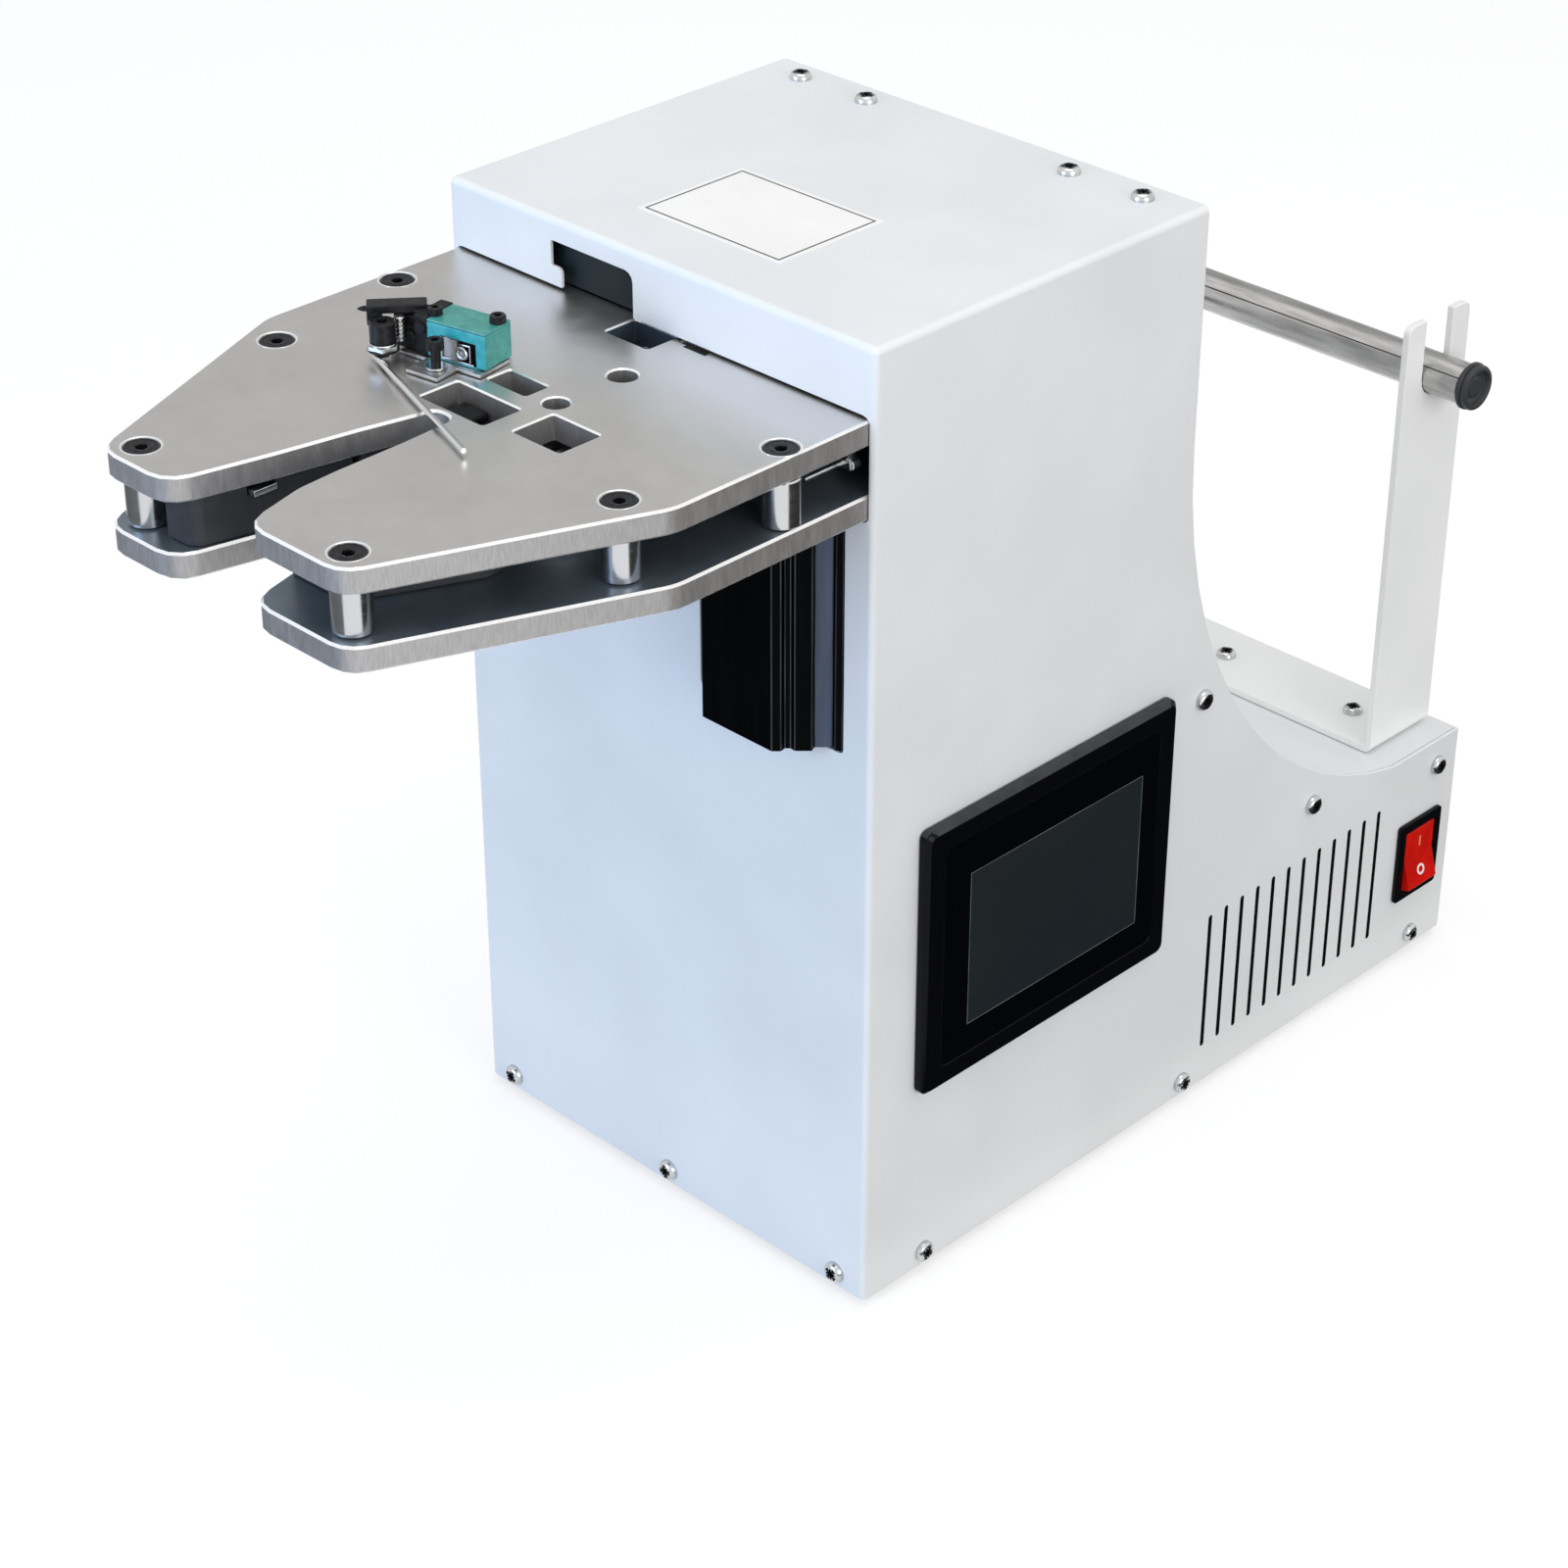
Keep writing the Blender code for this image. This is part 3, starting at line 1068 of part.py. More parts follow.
def limit_switch(frame, teal, black, steel):
    """Limit switch on its bracket, and the lever whose rod lies across the mouth."""
    place = empty("switch_place", (SWITCH_X, SWITCH_Y, DECK_TOP + SEAT), frame, SWITCH_TURN)
    half = SWITCH_LENGTH / 2
    side = SWITCH_WIDTH / 2
    tab_left = -BRACKET_TAB_LEFT
    tab_right = tab_left + BRACKET_TAB_WIDTH
    tab_front = -side - BRACKET_TAB_REACH
    front = -side - BRACKET_EDGE
    sheet = [(-BRACKET_LEFT, front), (tab_left, front), (tab_left, tab_front),
             (tab_right, tab_front), (tab_right, front), (half, front), (half, side),
             (-BRACKET_LEFT, side)]
    piece("switch_bracket", prism(sheet, 0, BRACKET_SHEET), steel, place)
    body_low = BRACKET_SHEET + SEAT
    body_high = body_low + SWITCH_HEIGHT
    body = piece("switch_body", prism(rect(-half, half, -side, side, SWITCH_EDGE),
                                      body_low, body_high), teal, place)
    chamfer(body, SWITCH_EDGE / 2)
    head_right = -half - SEAT
    head_left = head_right - SWITCH_HEAD_LENGTH
    head_side = SWITCH_HEAD_WIDTH / 2
    head_high = body_low + SWITCH_HEAD_HEIGHT
    block = rect(head_left, head_right, -head_side, head_side, SWITCH_EDGE)
    head = piece("switch_head", prism(block, body_low, head_high), black, place)
    chamfer(head, SWITCH_EDGE / 2)

    hub_x, hub_y = lever_pivot()
    pivot = empty("lever_axis", (hub_x, hub_y, DECK_TOP), frame)
    low = SEAT + head_high + SEAT
    high = low + LEVER_THICK
    heading = LEVER_TURN - math.pi / 2
    quarter = math.pi / 2
    tip = (LEVER_TIP_REACH * math.cos(heading), LEVER_TIP_REACH * math.sin(heading))
    post = (POST_REACH * math.cos(heading), POST_REACH * math.sin(heading))
    outline = arc((0, 0), LEVER_HUB, heading + quarter, heading + 3 * quarter, 2 * CORNER_STEPS)
    outline += arc(tip, LEVER_TIP, heading - quarter, heading + quarter, 2 * CORNER_STEPS)
    lever = piece("switch_lever", prism(outline, low, high), black, pivot)
    cut(lever, [prism(circle(POST_STEM + POST_EYE_GAP, FINE_STEPS, post), low - OVERRUN,
                      high + OVERRUN)])
    boss_top = low - SEAT
    boss_low = boss_top - POST_BOSS_HEIGHT
    nut_low = boss_low - POST_NUT_HEIGHT
    washer_low = nut_low - POST_WASHER_HEIGHT
    profile = [(POST_STEM, POST_FLOOR_GAP), (POST_STEM, washer_low), (POST_WASHER, washer_low),
               (POST_WASHER, nut_low), (POST_NUT, nut_low), (POST_NUT, boss_low),
               (POST_BOSS, boss_low), (POST_BOSS, boss_top), (POST_STEM, boss_top),
               (POST_STEM, high + SEAT), (POST_CAP, high + SEAT),
               (POST_CAP, high + SEAT + POST_CAP_HEIGHT)]
    piece("lever_clamp", turned(profile, steps=FINE_STEPS), black, pivot, (*post, 0), smooth=True)
    aside = POST_STEM + TRIGGER_RADIUS + SEAT
    start = (post[0] - TRIGGER_BACK * math.cos(TRIGGER_TURN) + aside * math.sin(TRIGGER_TURN),
             post[1] - TRIGGER_BACK * math.sin(TRIGGER_TURN) - aside * math.cos(TRIGGER_TURN))
    rod_level = washer_low - SEAT - TRIGGER_RADIUS
    rod = turned([(TRIGGER_RADIUS, 0), (TRIGGER_RADIUS, TRIGGER_LENGTH)], "X", FINE_STEPS // 2)
    piece("trigger_rod", rod, steel, pivot, (*start, rod_level), TRIGGER_TURN, smooth=True)


def touch_screen(frame, black, glass):
    """Panel screen: a bezel with its body through the side, and the glass in front."""
    low = HALF_WIDTH + SEAT
    high = low + SCREEN_PROUD - SEAT
    mid_y = SCREEN_FRONT + SCREEN_LENGTH / 2
    mid_z = SCREEN_BOTTOM + SCREEN_HEIGHT / 2

    def framed(inset, level):
        half = SCREEN_LENGTH / 2 - inset
        rise = SCREEN_HEIGHT / 2 - inset
        return placed(rect(-half, half, -rise, rise, SCREEN_RADIUS), level, "X")

    rings = [framed(SCREEN_BODY_INSET, low - SCREEN_BODY_DEPTH), framed(SCREEN_BODY_INSET, low),
             framed(0, low), framed(0, high - SCREEN_BEVEL), framed(SCREEN_BEVEL, high),
             framed(SCREEN_FRAME, high), framed(SCREEN_FRAME, high - SCREEN_GLASS_DEPTH - SEAT)]
    place = (0, mid_y, mid_z)
    piece("screen_bezel", loft(rings), black, frame, place)
    rings = [framed(SCREEN_FRAME + SEAT, high - SCREEN_GLASS_DEPTH),
             framed(SCREEN_FRAME + SEAT, high - SEAT)]
    piece("screen_glass", loft(rings), glass, frame, place)


def rocker_profile():
    """Rocker's section about its axis: a shallow V in front, and ends that clear the frame."""
    reach = ROCKER_HEIGHT / 2 - ROCKER_RIM - ROCKER_SIDE_GAP
    face = ROCKER_AXIS_DEPTH
    sine, cosine = math.sin(ROCKER_TILT), math.cos(ROCKER_TILT)
    run = math.sqrt(reach ** 2 - (face * cosine) ** 2) - face * sine
    outer = math.atan2(face + run * sine, run * cosine)
    inner = -math.asin(ROCKER_END / reach)
    turns = [outer + (inner - outer) * i / CORNER_STEPS for i in range(CORNER_STEPS + 1)]
    upper = [(reach * math.sin(t), reach * math.cos(t)) for t in turns]
    lower = [(x, -z) for x, z in upper[::-1]]
    level = [(face, 0), *upper, (-ROCKER_BELLY, 0), *lower]
    return [(x * cosine - z * sine, x * sine + z * cosine) for x, z in level]


def rocker_axis_x():
    """Where the rocker's axis lies along X."""
    return HALF_WIDTH + ROCKER_PROUD - ROCKER_AXIS_DEPTH


def rocker_switch(frame, black, red):
    """Rocker in its frame: the upper end lies pressed in and the lower end stands out."""
    rear = BASE_DEPTH - ROCKER_REAR_INSET
    mid_y = rear - ROCKER_LENGTH / 2
    mid_z = ROCKER_BOTTOM + ROCKER_HEIGHT / 2
    low = HALF_WIDTH + SEAT
    high = HALF_WIDTH + ROCKER_PROUD

    def framed(inset, level, radius=ROCKER_RADIUS):
        half = ROCKER_LENGTH / 2 - inset
        rise = ROCKER_HEIGHT / 2 - inset
        return placed(rect(-half, half, -rise, rise, radius), level, "X")

    rings = [framed(ROCKER_BODY_INSET, low - ROCKER_BODY_DEPTH), framed(ROCKER_BODY_INSET, low),
             framed(0, low), framed(0, high), framed(ROCKER_RIM, high, ROCKER_WELL_RADIUS),
             framed(ROCKER_RIM, high - ROCKER_WELL, ROCKER_WELL_RADIUS)]
    piece("rocker_frame", loft(rings), black, frame, (0, mid_y, mid_z))

    pivot = empty("rocker_axis", (rocker_axis_x(), mid_y, mid_z), frame)
    half = ROCKER_LENGTH / 2 - ROCKER_RIM - ROCKER_SIDE_GAP
    piece("rocker", prism(rocker_profile(), -half, half, "Y"), red, pivot)


def reel_holder(frame, white, steel, black):
    """Bracket with two slotted arms, and the tube that carries the reel, with its end caps."""
    front = SEAT_FRONT + SEAT
    rear = BASE_DEPTH - REEL_REAR_MARGIN
    level = SEAT_LEVEL + SEAT
    top = level + REEL_ARM_RISE + REEL_SHEET
    mid = (front + rear) / 2
    side = REEL_ARM_X
    inner = side - REEL_SHEET
    section = rounded([(-side, top, 0), (-side, level, REEL_BEND_RADIUS),
                       (side, level, REEL_BEND_RADIUS), (side, top, 0), (inner, top, 0),
                       (inner, level + REEL_SHEET, 0), (-inner, level + REEL_SHEET, 0),
                       (-inner, top, 0)])
    bracket = piece("reel_bracket", prism(section, front, rear, "Y"), white, frame)
    slot_half = ROD_RADIUS + SEAT
    rod_level = top - ROD_BELOW_TOP
    above = top + OVERRUN
    slot = [(mid + slot_half, above), (mid - slot_half, above)]
    slot += arc((mid, rod_level), slot_half, math.pi, 2 * math.pi, 2 * CORNER_STEPS + 2)
    tools = [prism(slot, -side - OVERRUN, side + OVERRUN, "X")]
    for edge, sign in ((front, 1), (rear, -1)):
        r = PRONG_RADIUS
        centre = (edge + r * sign, top - r)
        start = math.pi if sign > 0 else 0
        corner = arc(centre, r, start, math.pi / 2, CORNER_STEPS)
        corner += [(edge + r * sign, above), (edge - OVERRUN * sign, above),
                   (edge - OVERRUN * sign, top - r)]
        tools.append(prism(corner, -side - OVERRUN, side + OVERRUN, "X"))
    cut(bracket, tools)

    half = side + ROD_OVERHANG
    pivot = empty("rod_axis", (0, mid, rod_level), frame)
    bore = ROD_RADIUS - ROD_WALL
    ring = [(ROD_RADIUS, -half), (ROD_RADIUS, half), (bore, half), (bore, -half)]
    piece("reel_rod", turned(ring, "X", loop=True), steel, pivot, smooth=True)
    for name, sign in (("left", -1), ("right", 1)):
        plug = bore - SEAT
        profile = [(plug, half - CAP_PLUG), (plug, half + SEAT), (CAP_RADIUS, half + SEAT),
                   (CAP_RADIUS, half + CAP_LENGTH - CAP_ROUND),
                   (CAP_RADIUS - CAP_ROUND, half + CAP_LENGTH)]
        profile = [(r, x * sign) for r, x in profile]
        piece(f"rod_cap_{name}", turned(profile, "X"), black, pivot, smooth=True)


def electrics(frame, black, steel, grey):
    """Power inlet, power supply, controller and the two motor drivers on the tray."""
    low = BASE_DEPTH + SEAT
    high = BASE_DEPTH + INLET_PROUD

    def inlet(half, rise, level):
        return placed(rect(-half, half, -rise, rise, INLET_WALL), level, "Y")

    flange = (INLET_WIDTH / 2, INLET_HEIGHT / 2)
    body = (INLET_BODY_WIDTH / 2, INLET_HEIGHT / 2 - INLET_BODY_INSET)
    hollow = (body[0] - INLET_WALL, body[1] - INLET_WALL)
    rings = [inlet(*body, low - INLET_DEPTH), inlet(*body, low), inlet(*flange, low),
             inlet(*flange, high), inlet(*hollow, high),
             inlet(*hollow, low - INLET_DEPTH + INLET_FLOOR)]
    socket = piece("power_inlet", loft(rings), black, frame, (INLET_X, 0, INLET_Z))
    floor = low - INLET_DEPTH + INLET_FLOOR
    for number in (-1, 0, 1):
        raise_by = PIN_RAISE * (1 - 2 * abs(number))
        pin = rect(-PIN_WIDTH / 2, PIN_WIDTH / 2, -PIN_HEIGHT / 2, PIN_HEIGHT / 2)
        join(socket, prism(shift(pin, number * PIN_PITCH, raise_by), floor - INLET_FLOOR / 2,
                           floor + PIN_LENGTH, "Y"))

    ground = SHEET + SEAT
    boxes = (("power_supply", SUPPLY_X, SUPPLY_WIDTH, SUPPLY_TO_REAR, SUPPLY_LENGTH,
              SUPPLY_HEIGHT, SUPPLY_STEP, steel),
             ("controller", CONTROL_X, CONTROL_WIDTH, CONTROL_TO_REAR, CONTROL_LENGTH,
              CONTROL_HEIGHT, CONTROL_STEP, grey))
    for name, x, width, behind, length, height, step, finish in boxes:
        half = width / 2
        front = BASE_DEPTH - behind - length
        section = [(-half, 0), (half, 0), (half, height - step), (half - step, height - step),
                   (half - step, height), (-half, height)]
        piece(name, prism(section, 0, length, "Y"), finish, frame, (x, front, ground))
    for number in (0, 1):
        front = DRIVER_FRONT + number * (DRIVER_LENGTH + DRIVER_GAP)
        half = DRIVER_WIDTH / 2
        name = "twist_driver" if number else "feed_driver"
        piece(name, prism(rect(-half, half, 0, DRIVER_HEIGHT), 0, DRIVER_LENGTH, "Y"), grey, frame,
              (DRIVER_X, front, ground))


def tie_eyelet(frame, black):
    """Round eyelet in the back wall that the tie enters through."""
    rear = HEAD_DEPTH + EYELET_PROUD
    profile = [(EYELET_BORE, HEAD_DEPTH - EYELET_INSIDE), (EYELET_NECK, HEAD_DEPTH - EYELET_INSIDE),
               (EYELET_NECK, HEAD_DEPTH + SEAT), (EYELET_FLANGE, HEAD_DEPTH + SEAT),
               (EYELET_FLANGE, rear), (EYELET_BORE, rear)]
    piece("tie_eyelet", turned(profile, "Y", loop=True), black, frame, (TIE_X, 0, MID_LEVEL),
          smooth=True)


def main():
    clear_scene()
    white = paint("white_powder_coat", (0.80, 0.81, 0.82), 0.42)
    alloy = paint("satin_aluminium", (0.62, 0.61, 0.59), 0.38, 0.9)
    steel = paint("polished_steel", (0.72, 0.72, 0.72), 0.2, 1.0)
    screw = paint("black_oxide_steel", (0.03, 0.03, 0.035), 0.4, 0.6)
    motor = paint("motor_black", (0.012, 0.013, 0.016), 0.45)
    block = paint("guide_grey", (0.06, 0.065, 0.07), 0.5, 0.3)
    plastic = paint("black_plastic", (0.015, 0.015, 0.017), 0.35)
    glass = paint("screen_dark", (0.03, 0.032, 0.035), 0.08)
    red = paint("rocker_red", (0.60, 0.01, 0.008), 0.25)
    teal = paint("switch_teal", (0.04, 0.30, 0.33), 0.4)
    rubber = paint("dark_rubber", (0.02, 0.02, 0.02), 0.8)
    grey = paint("module_grey", (0.16, 0.17, 0.18), 0.5)

    middle = (BASE_DEPTH + INLET_PROUD - DECK_REACH) / 2
    frame = empty("machine_frame", (0, -middle, FOOT_HEIGHT))
    base_tray(frame, white)
    feet(frame, rubber)
    main_shell(frame, white)
    rear_cover(frame, white)
    uprights(frame, steel)
    lower_plate(frame, alloy)
    upper_plate(frame, alloy)
    spacers(frame, steel, screw)
    guides(frame, block, steel)
    spindle(frame, screw, steel, block)
    twist_drive(frame, alloy, motor, steel)
    feed_motor(frame, motor)
    feed_rollers(frame, rubber, steel)
    cutter(frame, steel, motor)
    limit_switch(frame, teal, plastic, steel)
    touch_screen(frame, plastic, glass)
    rocker_switch(frame, plastic, red)
    reel_holder(frame, white, steel, plastic)
    electrics(frame, plastic, steel, grey)
    tie_eyelet(frame, plastic)


main()
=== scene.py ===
"""Looks of the countertop twist tie machine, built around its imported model.

Lengths are in millimetres of the machine's own frame until at() or piece() turns them into
metres of the row's frame: X = 0 is the machine's middle, Y = 0 the front face of its housing
and Z = 0 the housing's lower edge. Only the stage is laid out in metres.
"""

import math

import bmesh
import bpy
from mathutils import Matrix, Vector


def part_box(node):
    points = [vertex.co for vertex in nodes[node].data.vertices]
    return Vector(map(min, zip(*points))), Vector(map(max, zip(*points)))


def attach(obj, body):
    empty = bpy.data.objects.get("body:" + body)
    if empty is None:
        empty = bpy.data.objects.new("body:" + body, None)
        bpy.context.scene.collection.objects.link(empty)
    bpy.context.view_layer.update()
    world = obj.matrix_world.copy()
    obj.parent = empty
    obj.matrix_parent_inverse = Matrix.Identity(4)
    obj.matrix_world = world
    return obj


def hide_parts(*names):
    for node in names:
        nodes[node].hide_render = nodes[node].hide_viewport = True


MM = 0.001
X, Y, Z = range(3)
MIDDLE_Y = 84
FOOT_HEIGHT = 3

# Fitted view of the photograph
VIEW_TURN = 0.7803446
VIEW_DROP = 0.5458288
VIEW_SHIFT = (-42.6957, -148.7225, -1393.2316)
VIEW_LENS = 85.533
SENSOR = 36.0

# Housing, with the places of its screws: X along the front and the top, (Y, Z) on the sides
TOP_LEVEL = 372
HALF_WIDTH = 100
SHELL_EDGE = 0.35
VENT_FRONT = 185
VENT_REAR = 297
VENT_BOTTOM = 16
VENT_TOP = 78
FRONT_SCREWS = (-86, 0, 86)
FRONT_SCREW_LEVEL = 6
SIDE_SCREWS = ((31, 6), (177, 6), (323, 6.5), (331, 83), (248, 100.6), (175, 177))
TOP_SCREWS = (-80, -47.5, 47.5, 80)
TOP_SCREW_Y = 150

# Deck
DECK_TOP = 347
UPPER_LEVEL = 338
LOWER_TOP = 321
RIM = 0.55
SPACER_COUNT = 6

# Limit switch, with its place and turn on the deck, and the lever beside it
SWITCH_AT = (Matrix.Translation((-26, -58, DECK_TOP + 0.3))
             @ Matrix.Rotation(math.radians(12), 4, "Z"))
SWITCH_TOP = 14.3
LEVER_LEVEL = 360.6
POST = (-45.0, -76.0, 0)
POST_BORE = 1.8
POST_FOOT = 353.2
NUT_BOTTOM = 350.9

# Reel holder
BRACKET_SCREWS = (-65, 0, 65)
BRACKET_SCREW_Y = 320
BRACKET_TOP = 97.9
TUBE_Y = 320.4
TUBE_LEVEL = 254.5
TUBE_HALF = 103
TUBE_RADIUS = 8
TUBE_STEPS = 96
DARK_LINE_AT = math.radians(33.75)

# Angles between flat and sharp, gaps and tolerances, and steps of a full turn
FLAT_ANGLE = math.radians(0.4)
RIB_ANGLE = math.radians(20)
PLATE_ANGLE = math.radians(25)
SMOOTH_ANGLE = math.radians(35)
ROUND_ANGLE = math.radians(50)
RIM_ANGLE = math.radians(60)
HAIR = 0.02
MERGE = 0.02
CLOSE = 0.01
NEAR = 1e-3
JOIN = 1e-5
ROUND = 64
SMALL_ROUND = 48
KNURL_STEPS = 120

# Stage
FLOOR_GLOW = 0.64
FLOOR_GREY = 0.42
WORLD_LIGHT = 0.66
BACKDROP = 1.0
WHITE = (1, 1, 1, 1)

# Stretch of a pattern that runs alike in all directions
EVEN = (1, 1, 1)

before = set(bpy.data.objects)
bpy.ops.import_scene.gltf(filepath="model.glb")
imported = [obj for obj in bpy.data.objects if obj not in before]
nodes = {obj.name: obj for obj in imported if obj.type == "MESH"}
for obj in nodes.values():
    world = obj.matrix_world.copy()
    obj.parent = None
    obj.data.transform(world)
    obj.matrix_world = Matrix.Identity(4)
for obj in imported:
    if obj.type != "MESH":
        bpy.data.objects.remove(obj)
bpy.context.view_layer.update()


def at(x, y, z):
    """Point of the machine's frame, as metres of the row's frame."""
    return Vector((x, y - MIDDLE_Y, z + FOOT_HEIGHT)) * MM


def corners(node):
    """Lowest and highest corner of a CAD node, in the machine's millimetres."""
    low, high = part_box(node)
    shift = Vector((0, MIDDLE_Y, -FOOT_HEIGHT))
    return low / MM + shift, high / MM + shift


def stand(node):
    """Middle of a CAD node at its lower level, and its height."""
    low, high = corners(node)
    return Vector(((low.x + high.x) / 2, (low.y + high.y) / 2, low.z)), high.z - low.z


# Materials


def linear(code):
    """Turns an sRGB hex colour into linear RGBA."""
    parts = [int(code[i:i + 2], 16) / 255 for i in (0, 2, 4)]
    curved = [c / 12.92 if c <= 0.04045 else ((c + 0.055) / 1.055) ** 2.4 for c in parts]
    return (*curved, 1.0)


def add(tree, kind, inputs=None, **settings):
    """Adds a node with its settings, values and links."""
    node = tree.nodes.new(kind)
    for name, value in settings.items():
        setattr(node, name, value)
    for name, value in (inputs or {}).items():
        if isinstance(value, bpy.types.NodeSocket):
            tree.links.new(value, node.inputs[name])
        else:
            node.inputs[name].default_value = value
    return node


def shader_input(made, socket):
    """Socket of a material's shader."""
    return made.node_tree.nodes["Principled BSDF"].inputs[socket]


def material(name, colour, roughness, metallic=0.0, specular=0.5):
    """Principled material of a plain colour."""
    made = bpy.data.materials.new(name)
    made.use_nodes = True
    made.diffuse_color = linear(colour)
    for socket, value in (("Base Color", linear(colour)), ("Roughness", roughness),
                          ("Metallic", metallic), ("Specular IOR Level", specular)):
        shader_input(made, socket).default_value = value
    return made


def grain(made, size, stretch, detail):
    """Noise in object space whose blotches are about size millimetres across."""
    tree = made.node_tree
    place_of = add(tree, "ShaderNodeTexCoord")
    scaled = add(tree, "ShaderNodeMapping",
                 {"Vector": place_of.outputs["Object"], "Scale": tuple(1 / s for s in stretch)})
    noise = add(tree, "ShaderNodeTexNoise",
                {"Vector": scaled.outputs["Vector"], "Scale": 1 / (size * MM), "Detail": detail})
    return noise.outputs["Fac"]


def vary_colour(made, dark, light, size, stretch=EVEN, detail=3.0):
    """Lets noise run between two colours."""
    low, high = 0.35, 0.65
    tree = made.node_tree
    ramp = add(tree, "ShaderNodeValToRGB", {"Fac": grain(made, size, stretch, detail)})
    ramp.color_ramp.elements[0].position = low
    ramp.color_ramp.elements[0].color = linear(dark)
    ramp.color_ramp.elements[1].position = high
    ramp.color_ramp.elements[1].color = linear(light)
    tree.links.new(ramp.outputs["Color"], shader_input(made, "Base Color"))
    return made


def vary_roughness(made, smooth, rough, size, stretch=EVEN, detail=3.0):
    """Lets noise run between two values of roughness."""
    tree = made.node_tree
    span = add(tree, "ShaderNodeMapRange",
               {"Value": grain(made, size, stretch, detail), "From Min": 0.3, "From Max": 0.7,
                "To Min": smooth, "To Max": rough})
    tree.links.new(span.outputs["Result"], shader_input(made, "Roughness"))
    return made


def relief(made, depth, strength, size, stretch=EVEN, detail=3.0):
    """Raises noise by a depth in millimetres."""
    tree = made.node_tree
    bump = add(tree, "ShaderNodeBump",
               {"Height": grain(made, size, stretch, detail), "Distance": depth * MM,
                "Strength": strength})
    tree.links.new(bump.outputs["Normal"], shader_input(made, "Normal"))
    return made


def powder_coat(name, dark, light):
    """Polyester powder coat on steel: white, satin, with a faint orange peel about 1.5 mm wide."""
    made = material(name, light, 0.36)
    vary_colour(made, dark, light, 60, detail=2.0)
    return relief(made, 0.02, 0.35, 1.5, detail=1.0)


def milled_aluminium():
    """Aluminium plate, milled and glass-blasted: an even, soft grey with a fine grit of 0.4 mm."""
    made = material("blasted_aluminium", "dbd9d6", 0.34, 1.0)
    vary_colour(made, "d8d6d3", "dddbd8", 30)
    vary_roughness(made, 0.32, 0.37, 6, detail=4.0)
    return relief(made, 0.008, 0.35, 0.4, detail=2.0)


def shaded_aluminium():
    """Face of the lower plate, painted darker and bluer than the upper one as shade from the upper
    plate above it.
    """
    made = material("lower_plate_painted_shade", "7f8a95", 0.36, 0.7)
    vary_colour(made, "77828d", "87929c", 25)
    vary_roughness(made, 0.32, 0.4, 6, detail=4.0)
    return relief(made, 0.008, 0.35, 0.4, detail=2.0)


def cut_aluminium():
    """Side of the plate as the end mill leaves it: soft upright streaks, a little darker."""
    made = material("end_milled_aluminium", "b0aeac", 0.4, 0.75)
    vary_colour(made, "a8a6a5", "b6b4b3", 0.7, (1, 1, 6))
    vary_roughness(made, 0.36, 0.46, 2.0, (1, 1, 6))
    return relief(made, 0.004, 0.25, 0.4, (1, 1, 8), 2.0)


def bright_edge():
    """Edge chamfered after blasting, so it is bare and bright."""
    made = material("chamfered_aluminium_edge", "f4f3f1", 0.24, 0.6)
    return vary_roughness(made, 0.2, 0.34, 4.0)


def underside_shade_finish():
    """Underside and middle window walls of the upper plate: painted shade, dark blue-grey and
    dull, so that they look deep.
    """
    made = material("underside_painted_shade", "5d6b79", 0.5, 0.8)
    vary_colour(made, "54626f", "667482", 8.0, (6, 1, 1))
    return vary_roughness(made, 0.44, 0.56, 4.0)


def turned_steel():
    """Turned and polished steel: bright, with faint rings from the lathe."""
    made = material("turned_steel", "cfcfd0", 0.18, 1.0)
    vary_roughness(made, 0.15, 0.24, 0.8, (20, 20, 1))
    return relief(made, 0.004, 0.4, 0.4, (40, 40, 1), 2.0)


def drawn_tube():
    """Stainless tube, drawn and worn by reels: streaks along it and dull rubbed patches."""
    made = material("drawn_stainless_tube", "b9b8b7", 0.22, 1.0)
    vary_colour(made, "adacab", "c6c5c4", 2.2, (8, 1, 1), 5.0)
    vary_roughness(made, 0.16, 0.32, 6.0, (3, 1, 1), 4.0)
    return relief(made, 0.003, 0.4, 0.5, (40, 1, 1), 2.0)


def dark_tube_line():
    """Thin dark line along the tube."""
    made = material("dark_line_along_tube", "35312e", 0.45, 0.6)
    return vary_colour(made, "2c2826", "46413d", 3.0, (8, 1, 1))


def zinc_plate():
    """Zinc-plated steel: light silver with a faint mottle."""
    made = material("zinc_plated_steel", "c6c8c9", 0.22, 1.0)
    vary_colour(made, "bcbec0", "d0d2d2", 2.5)
    return vary_roughness(made, 0.18, 0.28, 1.2)


def bracket_steel():
    """Brushed steel sheet of the switch bracket: satin, close to the plate under it."""
    made = material("brushed_steel_sheet", "bfbebc", 0.4, 1.0)
    vary_colour(made, "b3b2b0", "cac9c7", 0.8, (12, 1, 1))
    return vary_roughness(made, 0.34, 0.46, 2.0, (4, 1, 1))


def recess_shadow():
    """Painted shade in a screw's recess: nearly black."""
    made = material("recess_painted_shade", "0c0c0d", 0.6, specular=0.1)
    return vary_colour(made, "080809", "141415", 0.5, detail=2.0)


def vent_wall_shade_paint():
    """Painted shade on the walls inside the vent slots: near black."""
    made = material("vent_slot_painted_shade", "1d1e20", 0.6, specular=0.1)
    return vary_colour(made, "17181a", "26282a", 1.5)


def notch_shade_finish():
    """Dark grey-green sheet behind the notch: painted shade for the dark inside of the housing."""
    made = material("notch_painted_shade", "1a2429", 0.5, specular=0.2)
    return vary_colour(made, "162025", "1f2a2f", 20.0)


def black_oxide():
    """Blackened steel of the screws, the lever and the spindle: near black, oily satin."""
    made = material("black_oxide_steel", "17171a", 0.38, 0.2, specular=0.3)
    vary_colour(made, "101012", "222226", 1.5)
    return vary_roughness(made, 0.3, 0.48, 0.8, detail=2.0)


